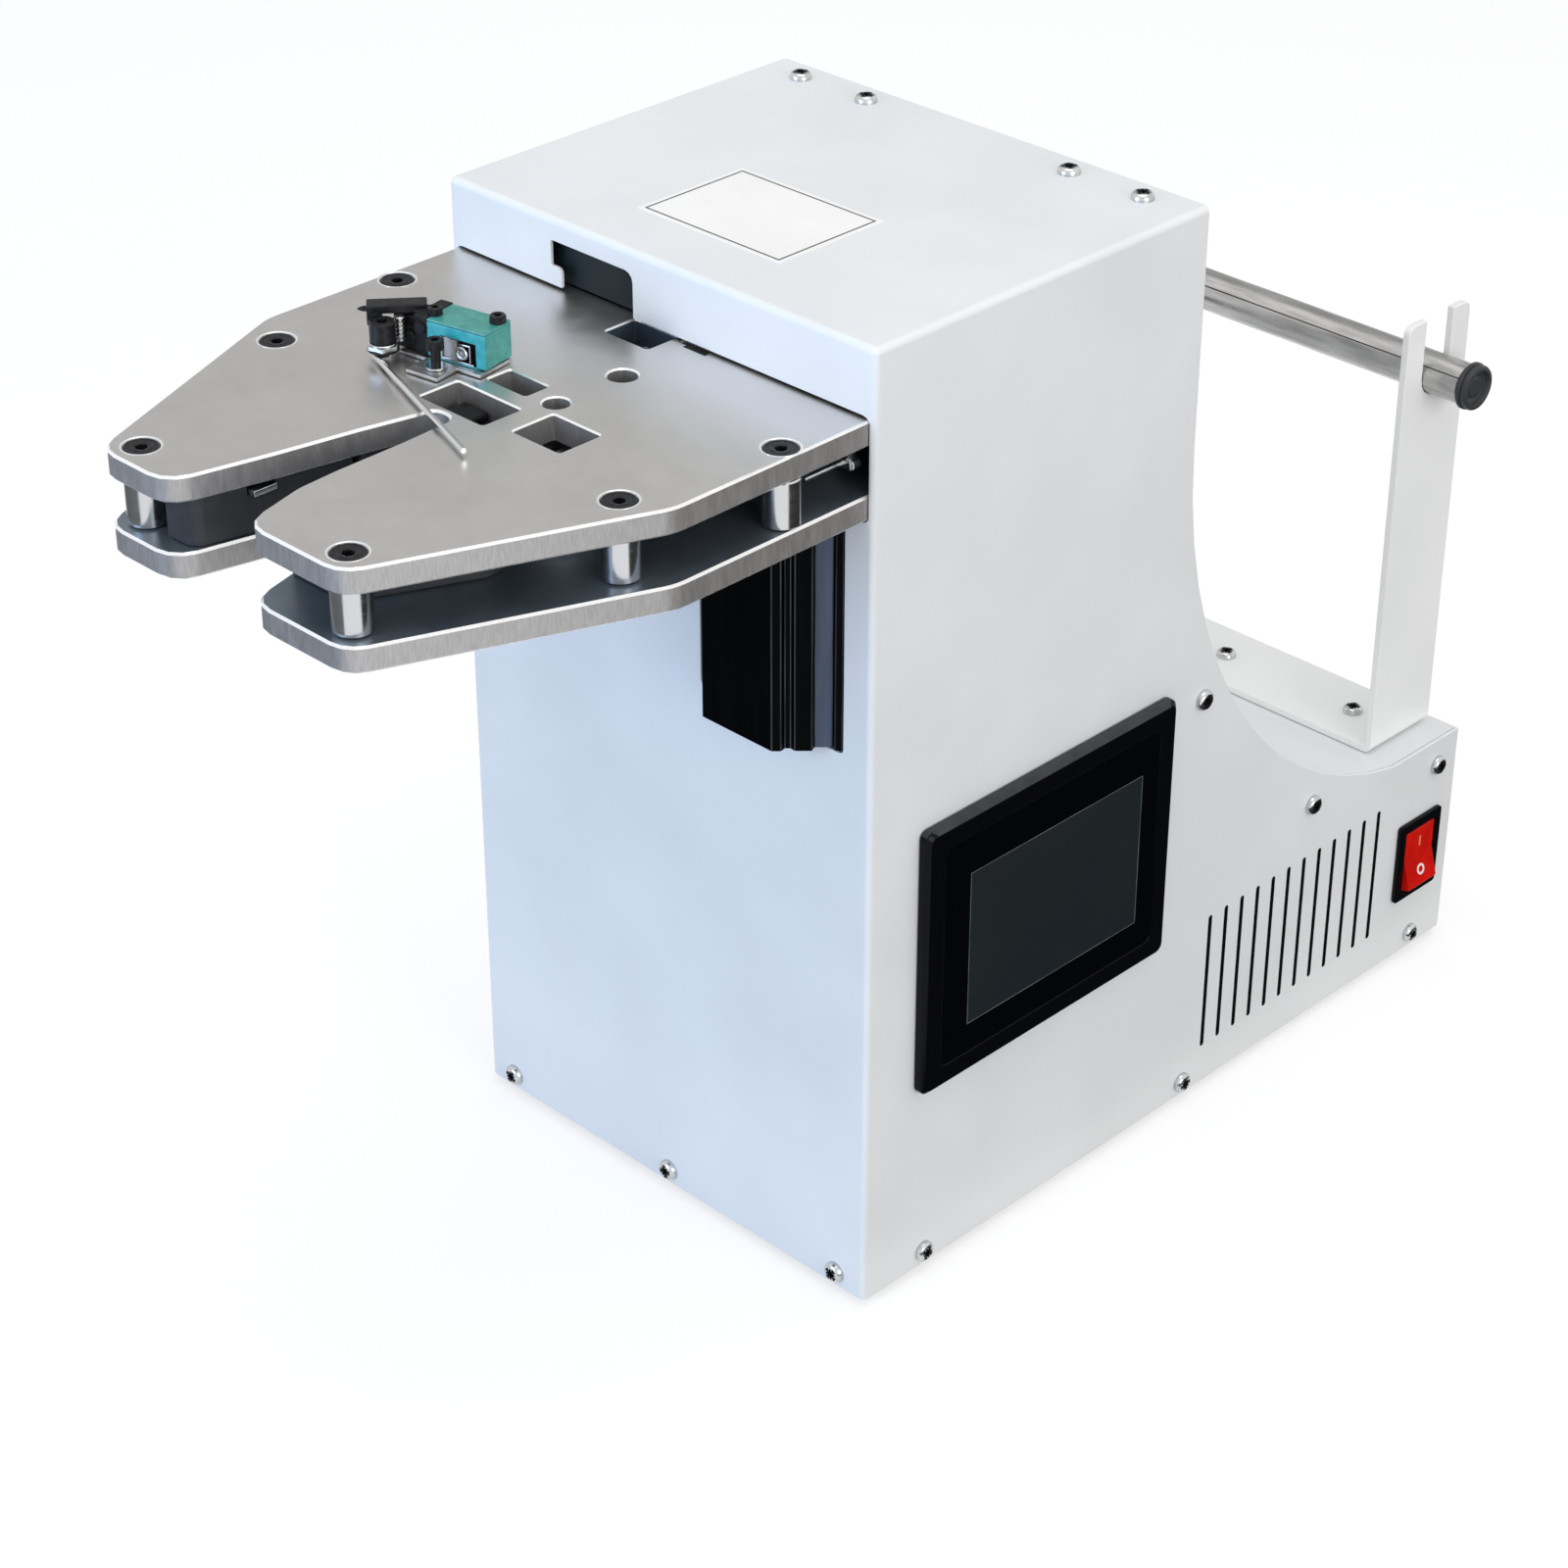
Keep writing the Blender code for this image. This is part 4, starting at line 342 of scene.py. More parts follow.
def black_anodised():
    """Extruded motor body, anodised black: deep and slightly blue, with lines along its length."""
    made = material("black_anodised_aluminium", "020304", 0.36, specular=0.03)
    vary_colour(made, "010202", "050609", 3.0, (1, 1, 20))
    return relief(made, 0.008, 0.4, 0.5, (1, 1, 40), 2.0)


def motor_edge():
    """Painted highlight along the edges of the motor's ribs: grey on the black body."""
    made = material("rib_edge_painted_highlight", "33353a", 0.4, 0.4)
    return vary_colour(made, "1b1c20", "484b50", 2.0, (1, 1, 15))


def motor_land():
    """Flat land between the motor's ribs: a painted blue-grey reflection on the black body."""
    made = material("land_painted_reflection", "3b465b", 0.4, 0.3)
    return vary_colour(made, "333d50", "455067", 5.0, (1, 1, 12))


def guide_composite():
    """Dark filled nylon of the guide blocks and the end caps: charcoal, a little shiny."""
    made = material("charcoal_filled_nylon", "37393c", 0.42, specular=0.3)
    vary_colour(made, "323437", "3d3f42", 12, detail=4.0)
    return vary_roughness(made, 0.36, 0.48, 2.0)


def sintered_steel():
    """Gears inside the housing: mid grey and finely pitted."""
    made = material("sintered_steel", "8d8d8c", 0.4, 1.0)
    vary_colour(made, "777776", "a2a2a1", 1.0, detail=4.0)
    return relief(made, 0.01, 0.5, 0.4, detail=2.0)


def gloss_abs():
    """Moulded ABS of the screen's bezel and the rocker's frame: black, fairly glossy."""
    made = material("gloss_black_abs", "07080a", 0.22, specular=0.1)
    vary_roughness(made, 0.16, 0.26, 9.0)
    return relief(made, 0.006, 0.3, 0.7, detail=1.0)


def bezel_highlight_finish():
    """Upper edge of the screen's bezel, lighter grey as a painted highlight where it faces up."""
    made = material("upper_edge_painted_highlight", "2b3133", 0.4, specular=0.3)
    return vary_colour(made, "262c2e", "313739", 8.0)


def matt_abs():
    """Moulded plastic with a fine spark-eroded texture: black and matt."""
    made = material("matt_black_plastic", "131315", 0.48, specular=0.2)
    vary_colour(made, "0e0e10", "1b1b1e", 2.0)
    return relief(made, 0.02, 0.5, 0.6, detail=1.0)


def printed_glass():
    """Cover glass, printed black from behind."""
    made = material("black_printed_glass", "040507", 0.08, specular=0.06)
    return vary_roughness(made, 0.05, 0.1, 30.0)


def dark_display():
    """Unlit display under the glass: a little lighter and greyer than the print around it."""
    made = material("unlit_display", "23282b", 0.16, specular=0.08)
    return vary_colour(made, "20262a", "262a2b", 70.0, detail=1.0)


def rim_plastic():
    """Thin grey border where the display's frame shows through the glass."""
    made = material("display_border", "606468", 0.3)
    return vary_colour(made, "565a5e", "6e7276", 12.0, detail=2.0)


def red_polycarbonate():
    """Tinted polycarbonate rocker: saturated red, glossy, brighter where it is thin."""
    made = material("red_polycarbonate", "d0140c", 0.2, specular=0.14)
    return vary_colour(made, "c4120a", "d9180e", 9.0, detail=2.0)


def print_ink(name, dark, light):
    """Pad-printed ink of the rocker's marks."""
    made = material(name, light, 0.45)
    return vary_colour(made, dark, light, 0.8, detail=2.0)


def cyan_nylon(name, dark, light):
    """Glass-filled nylon of the limit switch, moulded in one colour; its darker teal copy is
    painted shade.
    """
    made = material(name, light, 0.34)
    vary_colour(made, dark, light, 3.0, detail=4.0)
    return relief(made, 0.01, 0.4, 0.5, detail=2.0)


def nitrile_rubber():
    """Rubber of the feet, the block of painted shade in the deck and the pressure roller: black,
    matt, slightly dusty.
    """
    made = material("nitrile_rubber", "151515", 0.72, specular=0.25)
    vary_colour(made, "111111", "1f1f1e", 3.0, detail=4.0)
    return relief(made, 0.03, 0.5, 0.5, detail=2.0)


def module_plastic():
    """Grey housings of the controller and the motor drivers."""
    made = material("grey_module_plastic", "3c3f42", 0.5)
    vary_colour(made, "363a3d", "44484b", 4.0)
    return relief(made, 0.015, 0.4, 0.6, detail=1.0)


def label_vinyl():
    """Blank vinyl label: off-white and a little glossier than the paint."""
    made = material("white_vinyl", "fbfaf6", 0.3)
    vary_colour(made, "f8f7f3", "fdfcf9", 20.0)
    return relief(made, 0.03, 0.3, 6.0, detail=1.0)


def label_line():
    """Printed keyline round the blank label."""
    made = material("grey_keyline", "55585b", 0.35)
    return vary_colour(made, "4d5053", "5d6063", 2.0, detail=2.0)


coat = powder_coat("powder_coat_white", "e6e8e9", "eceeef")
# Lighter copy of the housing's white powder coat for the reel bracket: painted light, the real
# coat being the same
bracket_light_coat = powder_coat("powder_coat_painted_light", "f3f4f4", "f9faf9")
plate_face = milled_aluminium()
lower_face = shaded_aluminium()
plate_side = cut_aluminium()
plate_edge = bright_edge()
upper_plate_shade = underside_shade_finish()
spacer_steel = turned_steel()
tube_steel = drawn_tube()
tube_dark_line = dark_tube_line()
zinc = zinc_plate()
bracket_sheet = bracket_steel()
recess = recess_shadow()
vent_wall_shade = vent_wall_shade_paint()
notch_shade_paint = notch_shade_finish()
black_screw = black_oxide()
motor_black = black_anodised()
motor_rib_highlight = motor_edge()
motor_land_reflection = motor_land()
guide_dark = guide_composite()
gear_steel = sintered_steel()
bezel_plastic = gloss_abs()
bezel_upper_highlight = bezel_highlight_finish()
bezel_rim = rim_plastic()
black_plastic = matt_abs()
glass_print = printed_glass()
display = dark_display()
rocker_red = red_polycarbonate()
white_ink = print_ink("white_ink", "eadfdc", "f8f1ee")
orange_ink = print_ink("orange_ink", "ea8a55", "f09a66")
switch_cyan = cyan_nylon("cyan_nylon", "2b9ba4", "3cb1b9")
switch_shade_teal = cyan_nylon("teal_painted_shade", "3c8d86", "4b9f96")
rubber = nitrile_rubber()
module_grey = module_plastic()
vinyl = label_vinyl()
keyline = label_line()


# Shapes


def block(low, high, edge=0.3, segments=2):
    """Box between two corners, in millimetres, with its edges rounded."""
    mesh = bmesh.new()
    size = [high[i] - low[i] for i in range(3)]
    middle = [(high[i] + low[i]) / 2 for i in range(3)]
    bmesh.ops.create_cube(mesh, size=1,
                          matrix=Matrix.Translation(middle) @ Matrix.Diagonal((*size, 1)))
    if edge:
        bmesh.ops.bevel(mesh, geom=mesh.edges[:], offset=edge, segments=segments, profile=0.5,
                        affect="EDGES", material=-1)
    return mesh


def hexagon(turn):
    """Reach of a hexagon of apothem 1 in the direction of a turn."""
    part = turn % (math.pi / 3) - math.pi / 6
    return 1 / math.cos(part)


def cross(turn):
    """Reach of a cross-shaped recess, as a share of its longest arm."""
    half_arm = 0.24
    part = (turn + math.pi / 4) % (math.pi / 2) - math.pi / 4
    return min(1 / math.cos(part), half_arm / max(abs(math.sin(part)), JOIN))


def reach_of(spot):
    """Distance of a point from the Z axis."""
    return math.hypot(spot.x, spot.y)


def scale_out(vert, share):
    """Moves a vertex to a share of its distance from the Z axis."""
    vert.co.x *= share
    vert.co.y *= share


def turned(profile, steps=ROUND, shapes=None):
    """Spins a profile of (radius, level) pairs about Z; shapes gives rings that aren't round."""
    mesh = bmesh.new()
    line = [mesh.verts.new((r, 0, z)) for r, z in profile]
    edges = [mesh.edges.new(pair) for pair in zip(line, line[1:])]
    bmesh.ops.spin(mesh, geom=line + edges, cent=(0, 0, 0), axis=(0, 0, 1), angle=2 * math.pi,
                   steps=steps, use_merge=True)
    bmesh.ops.remove_doubles(mesh, verts=mesh.verts, dist=JOIN)
    for (radius, level), shape in (shapes or {}).items():
        for vert in mesh.verts:
            if abs(reach_of(vert.co) - radius) < NEAR and abs(vert.co.z - level) < NEAR:
                scale_out(vert, shape(math.atan2(vert.co.y, vert.co.x)))
    bmesh.ops.recalc_face_normals(mesh, faces=mesh.faces)
    return mesh


def ring(hole, radius, low, high, edge=0.0, rise=None, steps=ROUND, shapes=None):
    """Turned ring, its outer edges cut back by edge over a height of rise."""
    rise = edge if rise is None else rise
    outside = [(radius, low), (radius, high)]
    if edge:
        outside = [(radius - edge, low), (radius, low + rise), (radius, high - rise),
                   (radius - edge, high)]
    return turned([(hole, low), *outside, (hole, high), (hole, low)], steps, shapes)


def stub(radius, tall, edge=0.0, steps=40):
    """Round bar that stands on Z = 0, its upper edge cut back by edge."""
    rim = [(radius, tall - edge), (radius - edge, tall)] if edge else [(radius, tall)]
    return turned([(0, 0), (radius, 0), *rim, (0, tall)], steps)


def knurl(mesh, radius, steps, share):
    """Draws in every other upright line of a turned face to a share of its radius."""
    for vert in mesh.verts:
        step = round(math.atan2(vert.co.y, vert.co.x) / (2 * math.pi) * steps)
        if step % 2 and abs(reach_of(vert.co) - radius) < NEAR:
            scale_out(vert, share)


def put(mesh, where, facing=(0, 0, 1), turn=0.0):
    """Turns a mesh from facing Z to facing a direction, and moves it; all in millimetres."""
    swing = Vector((0, 0, 1)).rotation_difference(Vector(facing)).to_matrix().to_4x4()
    mesh.transform(Matrix.Translation(where) @ swing @ Matrix.Rotation(turn, 4, "Z"))
    return mesh


def gather(meshes):
    """Joins several meshes into one."""
    whole = bmesh.new()
    for mesh in meshes:
        data = bpy.data.meshes.new("part")
        mesh.to_mesh(data)
        mesh.free()
        whole.from_mesh(data)
        bpy.data.meshes.remove(data)
    return whole


def cut_across(mesh, axis, levels):
    """Cuts a mesh with planes square to an axis, so that its faces can be told apart."""
    normal = Vector([float(i == axis) for i in range(3)])
    for level in levels:
        bmesh.ops.bisect_plane(mesh, geom=mesh.verts[:] + mesh.edges[:] + mesh.faces[:],
                               plane_co=normal * level, plane_no=normal)


def lift(mesh, geometry, step):
    """Moves the vertices of an extrusion's result by a step."""
    bmesh.ops.translate(mesh, verts=[g for g in geometry if isinstance(g, bmesh.types.BMVert)],
                        vec=step)


def paint(mesh, finish, chosen):
    """Gives one of a piece's finishes to the faces whose middle and normal pass a test."""
    mesh.normal_update()
    for face in mesh.faces:
        if chosen(face.calc_center_median(), face.normal):
            face.material_index = finish


def clean_copy(node):
    """Copy of a CAD node's mesh, in the machine's millimetres, merged into whole faces."""
    mesh = bmesh.new()
    mesh.from_mesh(nodes[node].data)
    bmesh.ops.remove_doubles(mesh, verts=mesh.verts, dist=MERGE * MM)
    mesh.transform(Matrix.Scale(1 / MM, 4)
                   @ Matrix.Translation((0, MIDDLE_Y * MM, -FOOT_HEIGHT * MM)))
    bmesh.ops.dissolve_limit(mesh, angle_limit=FLAT_ANGLE, verts=mesh.verts, edges=mesh.edges)
    for face in mesh.faces:
        face.material_index = 0
    return mesh


def sharp_edges(mesh, angle=SMOOTH_ANGLE):
    """Edges that turn by more than an angle."""
    return [e for e in mesh.edges if e.is_manifold and e.calc_face_angle(0) > angle]


def break_edges(mesh, width, segments=2):
    """Rounds the sharp edges of a mesh by a width in millimetres."""
    bmesh.ops.bevel(mesh, geom=sharp_edges(mesh), offset=width, segments=segments, profile=0.5,
                    affect="EDGES", material=-1)
    bmesh.ops.dissolve_degenerate(mesh, dist=MERGE / 10, edges=mesh.edges)
    return mesh


def link(made):
    """Adds an object to the scene."""
    bpy.context.scene.collection.objects.link(made)
    return made


def object_of(name, mesh):
    """Object of a mesh, added to the scene."""
    data = bpy.data.meshes.new(name)
    mesh.to_mesh(data)
    mesh.free()
    return link(bpy.data.objects.new(name, data))


def piece(name, mesh, finishes, stands_for=(), body="machine", smooth=SMOOTH_ANGLE):
    """Makes a piece of a mesh in the machine's millimetres, dresses it and rides it on a body."""
    mesh.transform(Matrix.Translation((0, -MIDDLE_Y * MM, FOOT_HEIGHT * MM))
                   @ Matrix.Scale(MM, 4))
    made = object_of(name, mesh)
    for finish in finishes if isinstance(finishes, list) else [finishes]:
        made.data.materials.append(finish)
    made.data.shade_smooth()
    made.data.set_sharp_from_angle(angle=smooth)
    weighted = made.modifiers.new("weighted", "WEIGHTED_NORMAL")
    weighted.keep_sharp = True
    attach(made, body)
    if stands_for:
        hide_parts(*stands_for)


def remake(name, node, finish, edge=0.3, body="machine", segments=2):
    """Stands a copy of a CAD node with broken edges for the node."""
    mesh = break_edges(clean_copy(node), edge, segments)
    piece(name, mesh, finish, [node], body, ROUND_ANGLE)


def dress(node, finish):
    """Gives a CAD node that is shown as it is its material."""
    for slot in nodes[node].material_slots:
        slot.material = finish


# Housing


def housing():
    """Folded and welded shell with painted shade inside its vent slots, rear cover and tray."""
    mesh = clean_copy("main_shell")
    wall = 1.6
    # Painted shade on the vent slots' inner walls
    paint(mesh, 1, lambda spot, normal:
          HALF_WIDTH - wall < abs(spot.x) < HALF_WIDTH and abs(normal.x) < 0.5
          and VENT_FRONT < spot.y < VENT_REAR and VENT_BOTTOM < spot.z < VENT_TOP)
    break_edges(mesh, SHELL_EDGE)
    piece("folded_shell", mesh, [coat, vent_wall_shade], ["main_shell"],
          smooth=ROUND_ANGLE)
    remake("curved_cover", "rear_cover", coat, SHELL_EDGE)
    remake("floor_tray", "base_tray", coat, SHELL_EDGE)


def notch_shade_sheet():
    """Dark sheet of painted shade behind the notch in the front wall, bent at its foot to stand on
    the deck.
    """
    left, right, front, top, sheet, flange, edge = -52, -8, 5, 366, 1, 9, 0.2
    foot = (left, front, DECK_TOP + HAIR)
    liner = gather([block(foot, (right, front + sheet, top), edge),
                    block(foot, (right, front + flange, DECK_TOP + sheet), edge)])
    piece("notch_shade_sheet", liner, notch_shade_paint)


def feet():
    """Four rubber feet, rounded towards the floor."""
    profile = [(0, -3), (7.2, -3), (8.4, -2.8), (9.4, -1.9), (10, -0.8), (10, -0.3), (0, -0.3)]
    for end in ("front", "rear"):
        for side in ("left", "right"):
            node = f"foot_{end}_{side}"
            middle, _ = stand(node)
            piece(f"rubber_{node}", put(turned(profile), (middle.x, middle.y, 0)), rubber,
                  [node])


def pan_head(where, facing, turn):
    """Zinc-plated pan head, 8 mm across, sitting on a surface, with painted shade in its cross
    recess.
    """
    reach, floor, crown = 2.2, 0.9, 2.6
    floor_reach = reach * 0.6
    dome = [(2.7, 2.55), (3.2, 2.35), (3.7, 1.9), (4.0, 1.2), (4.1, 0.5), (4.1, 0)]
    mesh = turned([(0, floor), (floor_reach, floor), (reach, crown), *dome, (0, 0)],
                  SMALL_ROUND, {(reach, crown): cross, (floor_reach, floor): cross})
    # Painted shade in the cross recess
    paint(mesh, 1, lambda spot, normal:
          reach_of(spot) < reach and floor - CLOSE < spot.z < crown - CLOSE)
    return put(mesh, where, facing, turn)


def housing_screws():
    """Screws along the foot, up the sides and over the top, each stopped at its own turn."""
    first_turn, turn_step = 0.3, 0.7
    rows = {"front": [((x, 0, FRONT_SCREW_LEVEL), (0, -1, 0)) for x in FRONT_SCREWS],
            "right": [((HALF_WIDTH, y, z), (1, 0, 0)) for y, z in SIDE_SCREWS],
            "left": [((-HALF_WIDTH, y, z), (-1, 0, 0)) for y, z in SIDE_SCREWS],
            "top": [((x, TOP_SCREW_Y, TOP_LEVEL), (0, 0, 1)) for x in TOP_SCREWS]}
    for row, places in rows.items():
        heads = [pan_head(where, facing, first_turn + turn_step * i)
                 for i, (where, facing) in enumerate(places)]
        piece(f"screws_{row}", gather(heads), [zinc, recess])


def label():
    """Blank vinyl label with a thin keyline, where the machine carries its notice."""
    left, right, front, rear, thick, margin, line = -34, 32, 26, 75, 0.12, 1.6, 0.8
    inner = margin + line
    mesh = block((left, front, TOP_LEVEL), (right, rear, TOP_LEVEL + thick), 0)
    cut_across(mesh, X, (left + margin, right - margin, left + inner, right - inner))
    cut_across(mesh, Y, (front + margin, rear - margin, front + inner, rear - inner))
    paint(mesh, 1, lambda spot, normal: normal.z > 0.5 and margin < min(
        spot.x - left, right - spot.x, spot.y - front, rear - spot.y) < inner)
    piece("blank_label", mesh, [vinyl, keyline])


# Deck


def plates():
    """Two milled plates: blasted faces, streaked sides, bright chamfers and rims, with painted
    shade on the lower plate's face and on the upper plate's underside and middle window walls.
    """
    flat, slant, upright = 0.95, 0.3, 0.1
    window_left, window_right, window_front, window_rear = -10.8, 9.7, -11.7, 2.2
    # The lower plate's face takes the darker, bluer copy of the aluminium: painted shade
    for node, top, face_finish in (("upper_plate", DECK_TOP, plate_face),
                                   ("lower_plate", LOWER_TOP, lower_face)):
        mesh = clean_copy(node)
        paint(mesh, 1, lambda spot, normal: abs(normal.z) <= slant)
        paint(mesh, 2, lambda spot, normal: slant < abs(normal.z) <= flat)
        # Painted shade: the upper plate's underside and its middle window's walls take the dark
        # aluminium
        if node == "upper_plate":
            paint(mesh, 3, lambda spot, normal: normal.z < -flat or (
                abs(normal.z) < upright and window_left < spot.x < window_right
                and window_front < spot.y < window_rear))
        rims = [e for e in sharp_edges(mesh, RIM_ANGLE)
                if all(abs(v.co.z - top) < CLOSE for v in e.verts)]
        bmesh.ops.bevel(mesh, geom=rims, offset=RIM, segments=1, profile=0.5, affect="EDGES",
                        material=2)
        piece(f"milled_{node}", mesh, [face_finish, plate_side, plate_edge, upper_plate_shade],
              [node], smooth=PLATE_ANGLE)


def deck_trim():
    """Black rubber block filling a slot in the deck at the front wall, as painted shade, and a
    wire across the middle window.
    """
    # Painted shade: a black block where the slot shows dark
    plug = block((16.4, -2.2, DECK_TOP - 2), (26.4, 0, DECK_TOP + 0.06), HAIR)
    piece("slot_shade_block", plug, rubber)
    wire = block((0.5, -5.0, 342), (9.6, -4.2, 342.8), 0.2)
    piece("window_wire", wire, zinc)


def countersunk_screw():
    """Countersunk screw with its top on Z = 0, a hexagon socket dark with painted shade, and a
    groove round it.
    """
    socket, floor, lip = 1.9, -2.5, -0.15
    profile = [(0, floor), (socket, floor), (socket, lip), (socket + 0.45, 0), (3.2, 0),
               (3.5, -0.22), (5.2, -0.22), (5.45, 0), (5.7, 0), (5.95, -0.35), (3.0, -3.2),
               (3.0, -24), (0, -24)]
    mesh = turned(profile, 60, {(socket, floor): hexagon, (socket, lip): hexagon})
    # Painted shade in the socket
    paint(mesh, 1, lambda spot, normal: reach_of(spot) < socket and spot.z > floor - 0.5)
    return mesh


def deck_fasteners():
    """Turned spacers with broken ends, and countersunk screws in bright countersinks."""
    hole, radius, edge, sunk, turn_step = 3.3, 6.5, 0.5, 0.3, 0.9
    seat = [(6.0, -0.4), (6.05, -0.1), (6.25, 0.04), (6.75, 0.04), (6.9, -0.4), (6.0, -0.4)]
    seats = []
    for number in range(1, SPACER_COUNT + 1):
        spacer, screw = f"deck_spacer_{number}", f"deck_screw_{number}"
        foot, tall = stand(spacer)
        spacer_ring = put(ring(hole, radius, 0, tall, edge), foot)
        piece(f"turned_{spacer}", spacer_ring, spacer_steel, [spacer])
        head = put(countersunk_screw(), (foot.x, foot.y, DECK_TOP - sunk), turn=number * turn_step)
        piece(f"socket_{screw}", head, [black_screw, recess], [screw])
        seats.append(put(turned(seat), (foot.x, foot.y, DECK_TOP)))
    piece("screw_seats", gather(seats), plate_edge)


def between_plates():
    """Guide blocks, bearing, twister's head, arm, cutter, stop and guard."""
    for side in ("left", "right"):
        remake(f"ground_guide_{side}", f"guide_{side}", guide_dark, 0.4)
    remake("bearing_block", "spindle_bearing", guide_dark, 0.4)
    remake("forked_spindle", "twister_spindle", black_screw, 0.3, "twister")
    remake("press_arm_plate", "pressure_arm", zinc, 0.3, "press_arm")
    remake("blade_and_plunger", "cutter_blade", spacer_steel, 0.2, "blade")
    remake("solenoid_frame", "cutter_solenoid", motor_black, 0.4)
    remake("stop_finger", "tie_stop", zinc, 0.25)
    guard = block((-13, -81, UPPER_LEVEL - 0.5), (-1, -69.9, UPPER_LEVEL + 3.2), 1.6, 3)
    piece("head_guard", guard, black_plastic)


def gap_pin():
    """Pin with a knob, in a holder that hangs from the upper plate beside the front wall."""
    level = 331
    knob = turned([(0, 0), (1.9, 0), (2.2, 0.3), (2.2, 3.2), (0, 3.2)], 40)
    pin = gather([put(stub(1.1, 20.4, steps=32), (88.4, -20.2, level), (0, 1, 0)),
                  put(knob, (91.4, -3, level), (0, 1, 0)),
                  block((87.6, -3.6, level - 1.6), (92.4, 0.1, level + 1.6), 0.3),
                  block((90.2, -3.4, level + 1), (92.2, -0.8, UPPER_LEVEL - HAIR), 0.2)])
    piece("gap_pin", pin, zinc)


def hidden_drive():
    """Motor plate, gears and the arm's pin, inside the housing."""
    remake("mount_plate", "motor_plate", plate_side, 0.4)
    dress("drive_gear", gear_steel)
    dress("spindle_gear", gear_steel)
    dress("arm_pin", spacer_steel)


def feed_roller():
    """Knurled feed roller on its shaft, dished on top."""
    radius, knurl_foot = 14.2, 13.8
    foot, top = stand("feed_roller")
    seat = LOWER_TOP + 0.6 - foot.z
    profile = [(0, 0), (4, 0), (4, seat), (13.2, seat), (radius, seat + 0.8),
               (radius, top - 0.8), (13.2, top), (5, top), (4.4, top - 0.6), (0, top - 0.6)]
    mesh = turned(profile, KNURL_STEPS)
    knurl(mesh, radius, KNURL_STEPS, knurl_foot / radius)
    piece("knurled_feed_roller", put(mesh, foot), spacer_steel,
          ["feed_roller"], "feed")


def press_roller():
    """Rubber roller on its shaft, dished on top."""
    foot, top = stand("pressure_roller")
    seat = 3.3
    profile = [(0, 0), (2.7, 0), (2.7, seat), (8.4, seat), (9, seat + 0.6), (9, top - 0.6),
               (8.4, top), (3.4, top), (3.0, top - 0.5), (0, top - 0.5)]
    piece("rubber_press_roller", put(turned(profile), foot), rubber,
          ["pressure_roller"], "press_roller")


def ribbed_motor():
    """Feed motor: an extruded square body with ribs over its cut corners, painted highlights on
    the ribs' edges and a painted blue-grey reflection on the lands.
    """
    low, high = corners("feed_motor")
    foot, tall = stand("feed_motor")
    half, cut, land_depth = (high.x - low.x) / 2, 16.5, 2.6
    ribs = [(0, 0), (3.2, 0), (4.4, 1.9), (6.4, 1.9), (7.6, 0.2), (13.4, 0.2),
            (14.2, land_depth), (20.0, land_depth), (20.8, 0.5), (cut * math.sqrt(2), 0)]
    mesh = bmesh.new()
    outline = []
    for corner in range(4):
        spin = Matrix.Rotation(corner * math.pi / 2, 3, "Z")
        for along, deep in ribs:
            reach = (along - deep) / math.sqrt(2)
            sink = (along + deep) / math.sqrt(2)
            outline.append(mesh.verts.new(spin @ Vector((half - cut + reach, sink - half, 0))))
    face = mesh.faces.new(outline)
    lift(mesh, bmesh.ops.extrude_face_region(mesh, geom=[face])["geom"], (0, 0, tall))
    bmesh.ops.recalc_face_normals(mesh, faces=mesh.faces)
    land = 2 * half - cut - land_depth * math.sqrt(2)
    # Painted blue-grey reflection on the lands
    paint(mesh, 2, lambda spot, normal: abs(abs(spot.x) + abs(spot.y) - land) < CLOSE)
    upright = [e for e in sharp_edges(mesh, RIB_ANGLE)
               if abs(e.verts[0].co.z - e.verts[1].co.z) > tall / 2]
    # The ribs' upright edges take the grey painted highlight
    bmesh.ops.bevel(mesh, geom=upright, offset=0.28, segments=2, profile=0.5, affect="EDGES",
                    material=1)
    piece("ribbed_motor", put(mesh, foot), [motor_black, motor_rib_highlight, motor_land_reflection],
          ["feed_motor"], smooth=ROUND_ANGLE)


def round_motor():
    """Round twist motor inside, with a flange at its front and a groove behind it."""
    low, high = corners("twist_motor")
    long = high.y - low.y
    profile = [(0, 0.6), (6, 0.6), (6.4, 0), (16.6, 0), (17.7, 1.1), (17.7, 8), (17.2, 8.6),
               (17.2, 9.6), (18, 10.4), (18, long - 0.6), (17.4, long), (0, long)]
    mesh = put(turned(profile), (0, low.y, (low.z + high.z) / 2), (0, 1, 0))
    piece("round_twist_motor", mesh, motor_black, ["twist_motor"])


# Limit switch


def switch_piece(name, mesh, finishes, stands_for=()):
    """Moves a mesh from the switch's own frame to its place, and makes it a piece."""
    mesh.transform(SWITCH_AT)
    piece(name, mesh, finishes, stands_for)


def pocket(mesh, left, right, bottom, top, depth, finish):
    """Sinks a rectangle into the side of a box that faces -Y, and gives it a finish."""
    front = min(v.co.y for v in mesh.verts)
    cut_across(mesh, X, (left, right))
    cut_across(mesh, Z, (bottom, top))
    mesh.normal_update()
    chosen = [f for f in mesh.faces
              if f.normal.y < -0.9 and left < f.calc_center_median().x < right
              and bottom < f.calc_center_median().z < top]
    made = bmesh.ops.extrude_face_region(mesh, geom=chosen)
    bmesh.ops.delete(mesh, geom=chosen, context="FACES_ONLY")
    lift(mesh, made["geom"], (0, depth, 0))
    paint(mesh, finish, lambda spot, normal:
          left - NEAR < spot.x < right + NEAR and bottom - NEAR < spot.z < top + NEAR
          and front + NEAR < spot.y < front + depth + NEAR)


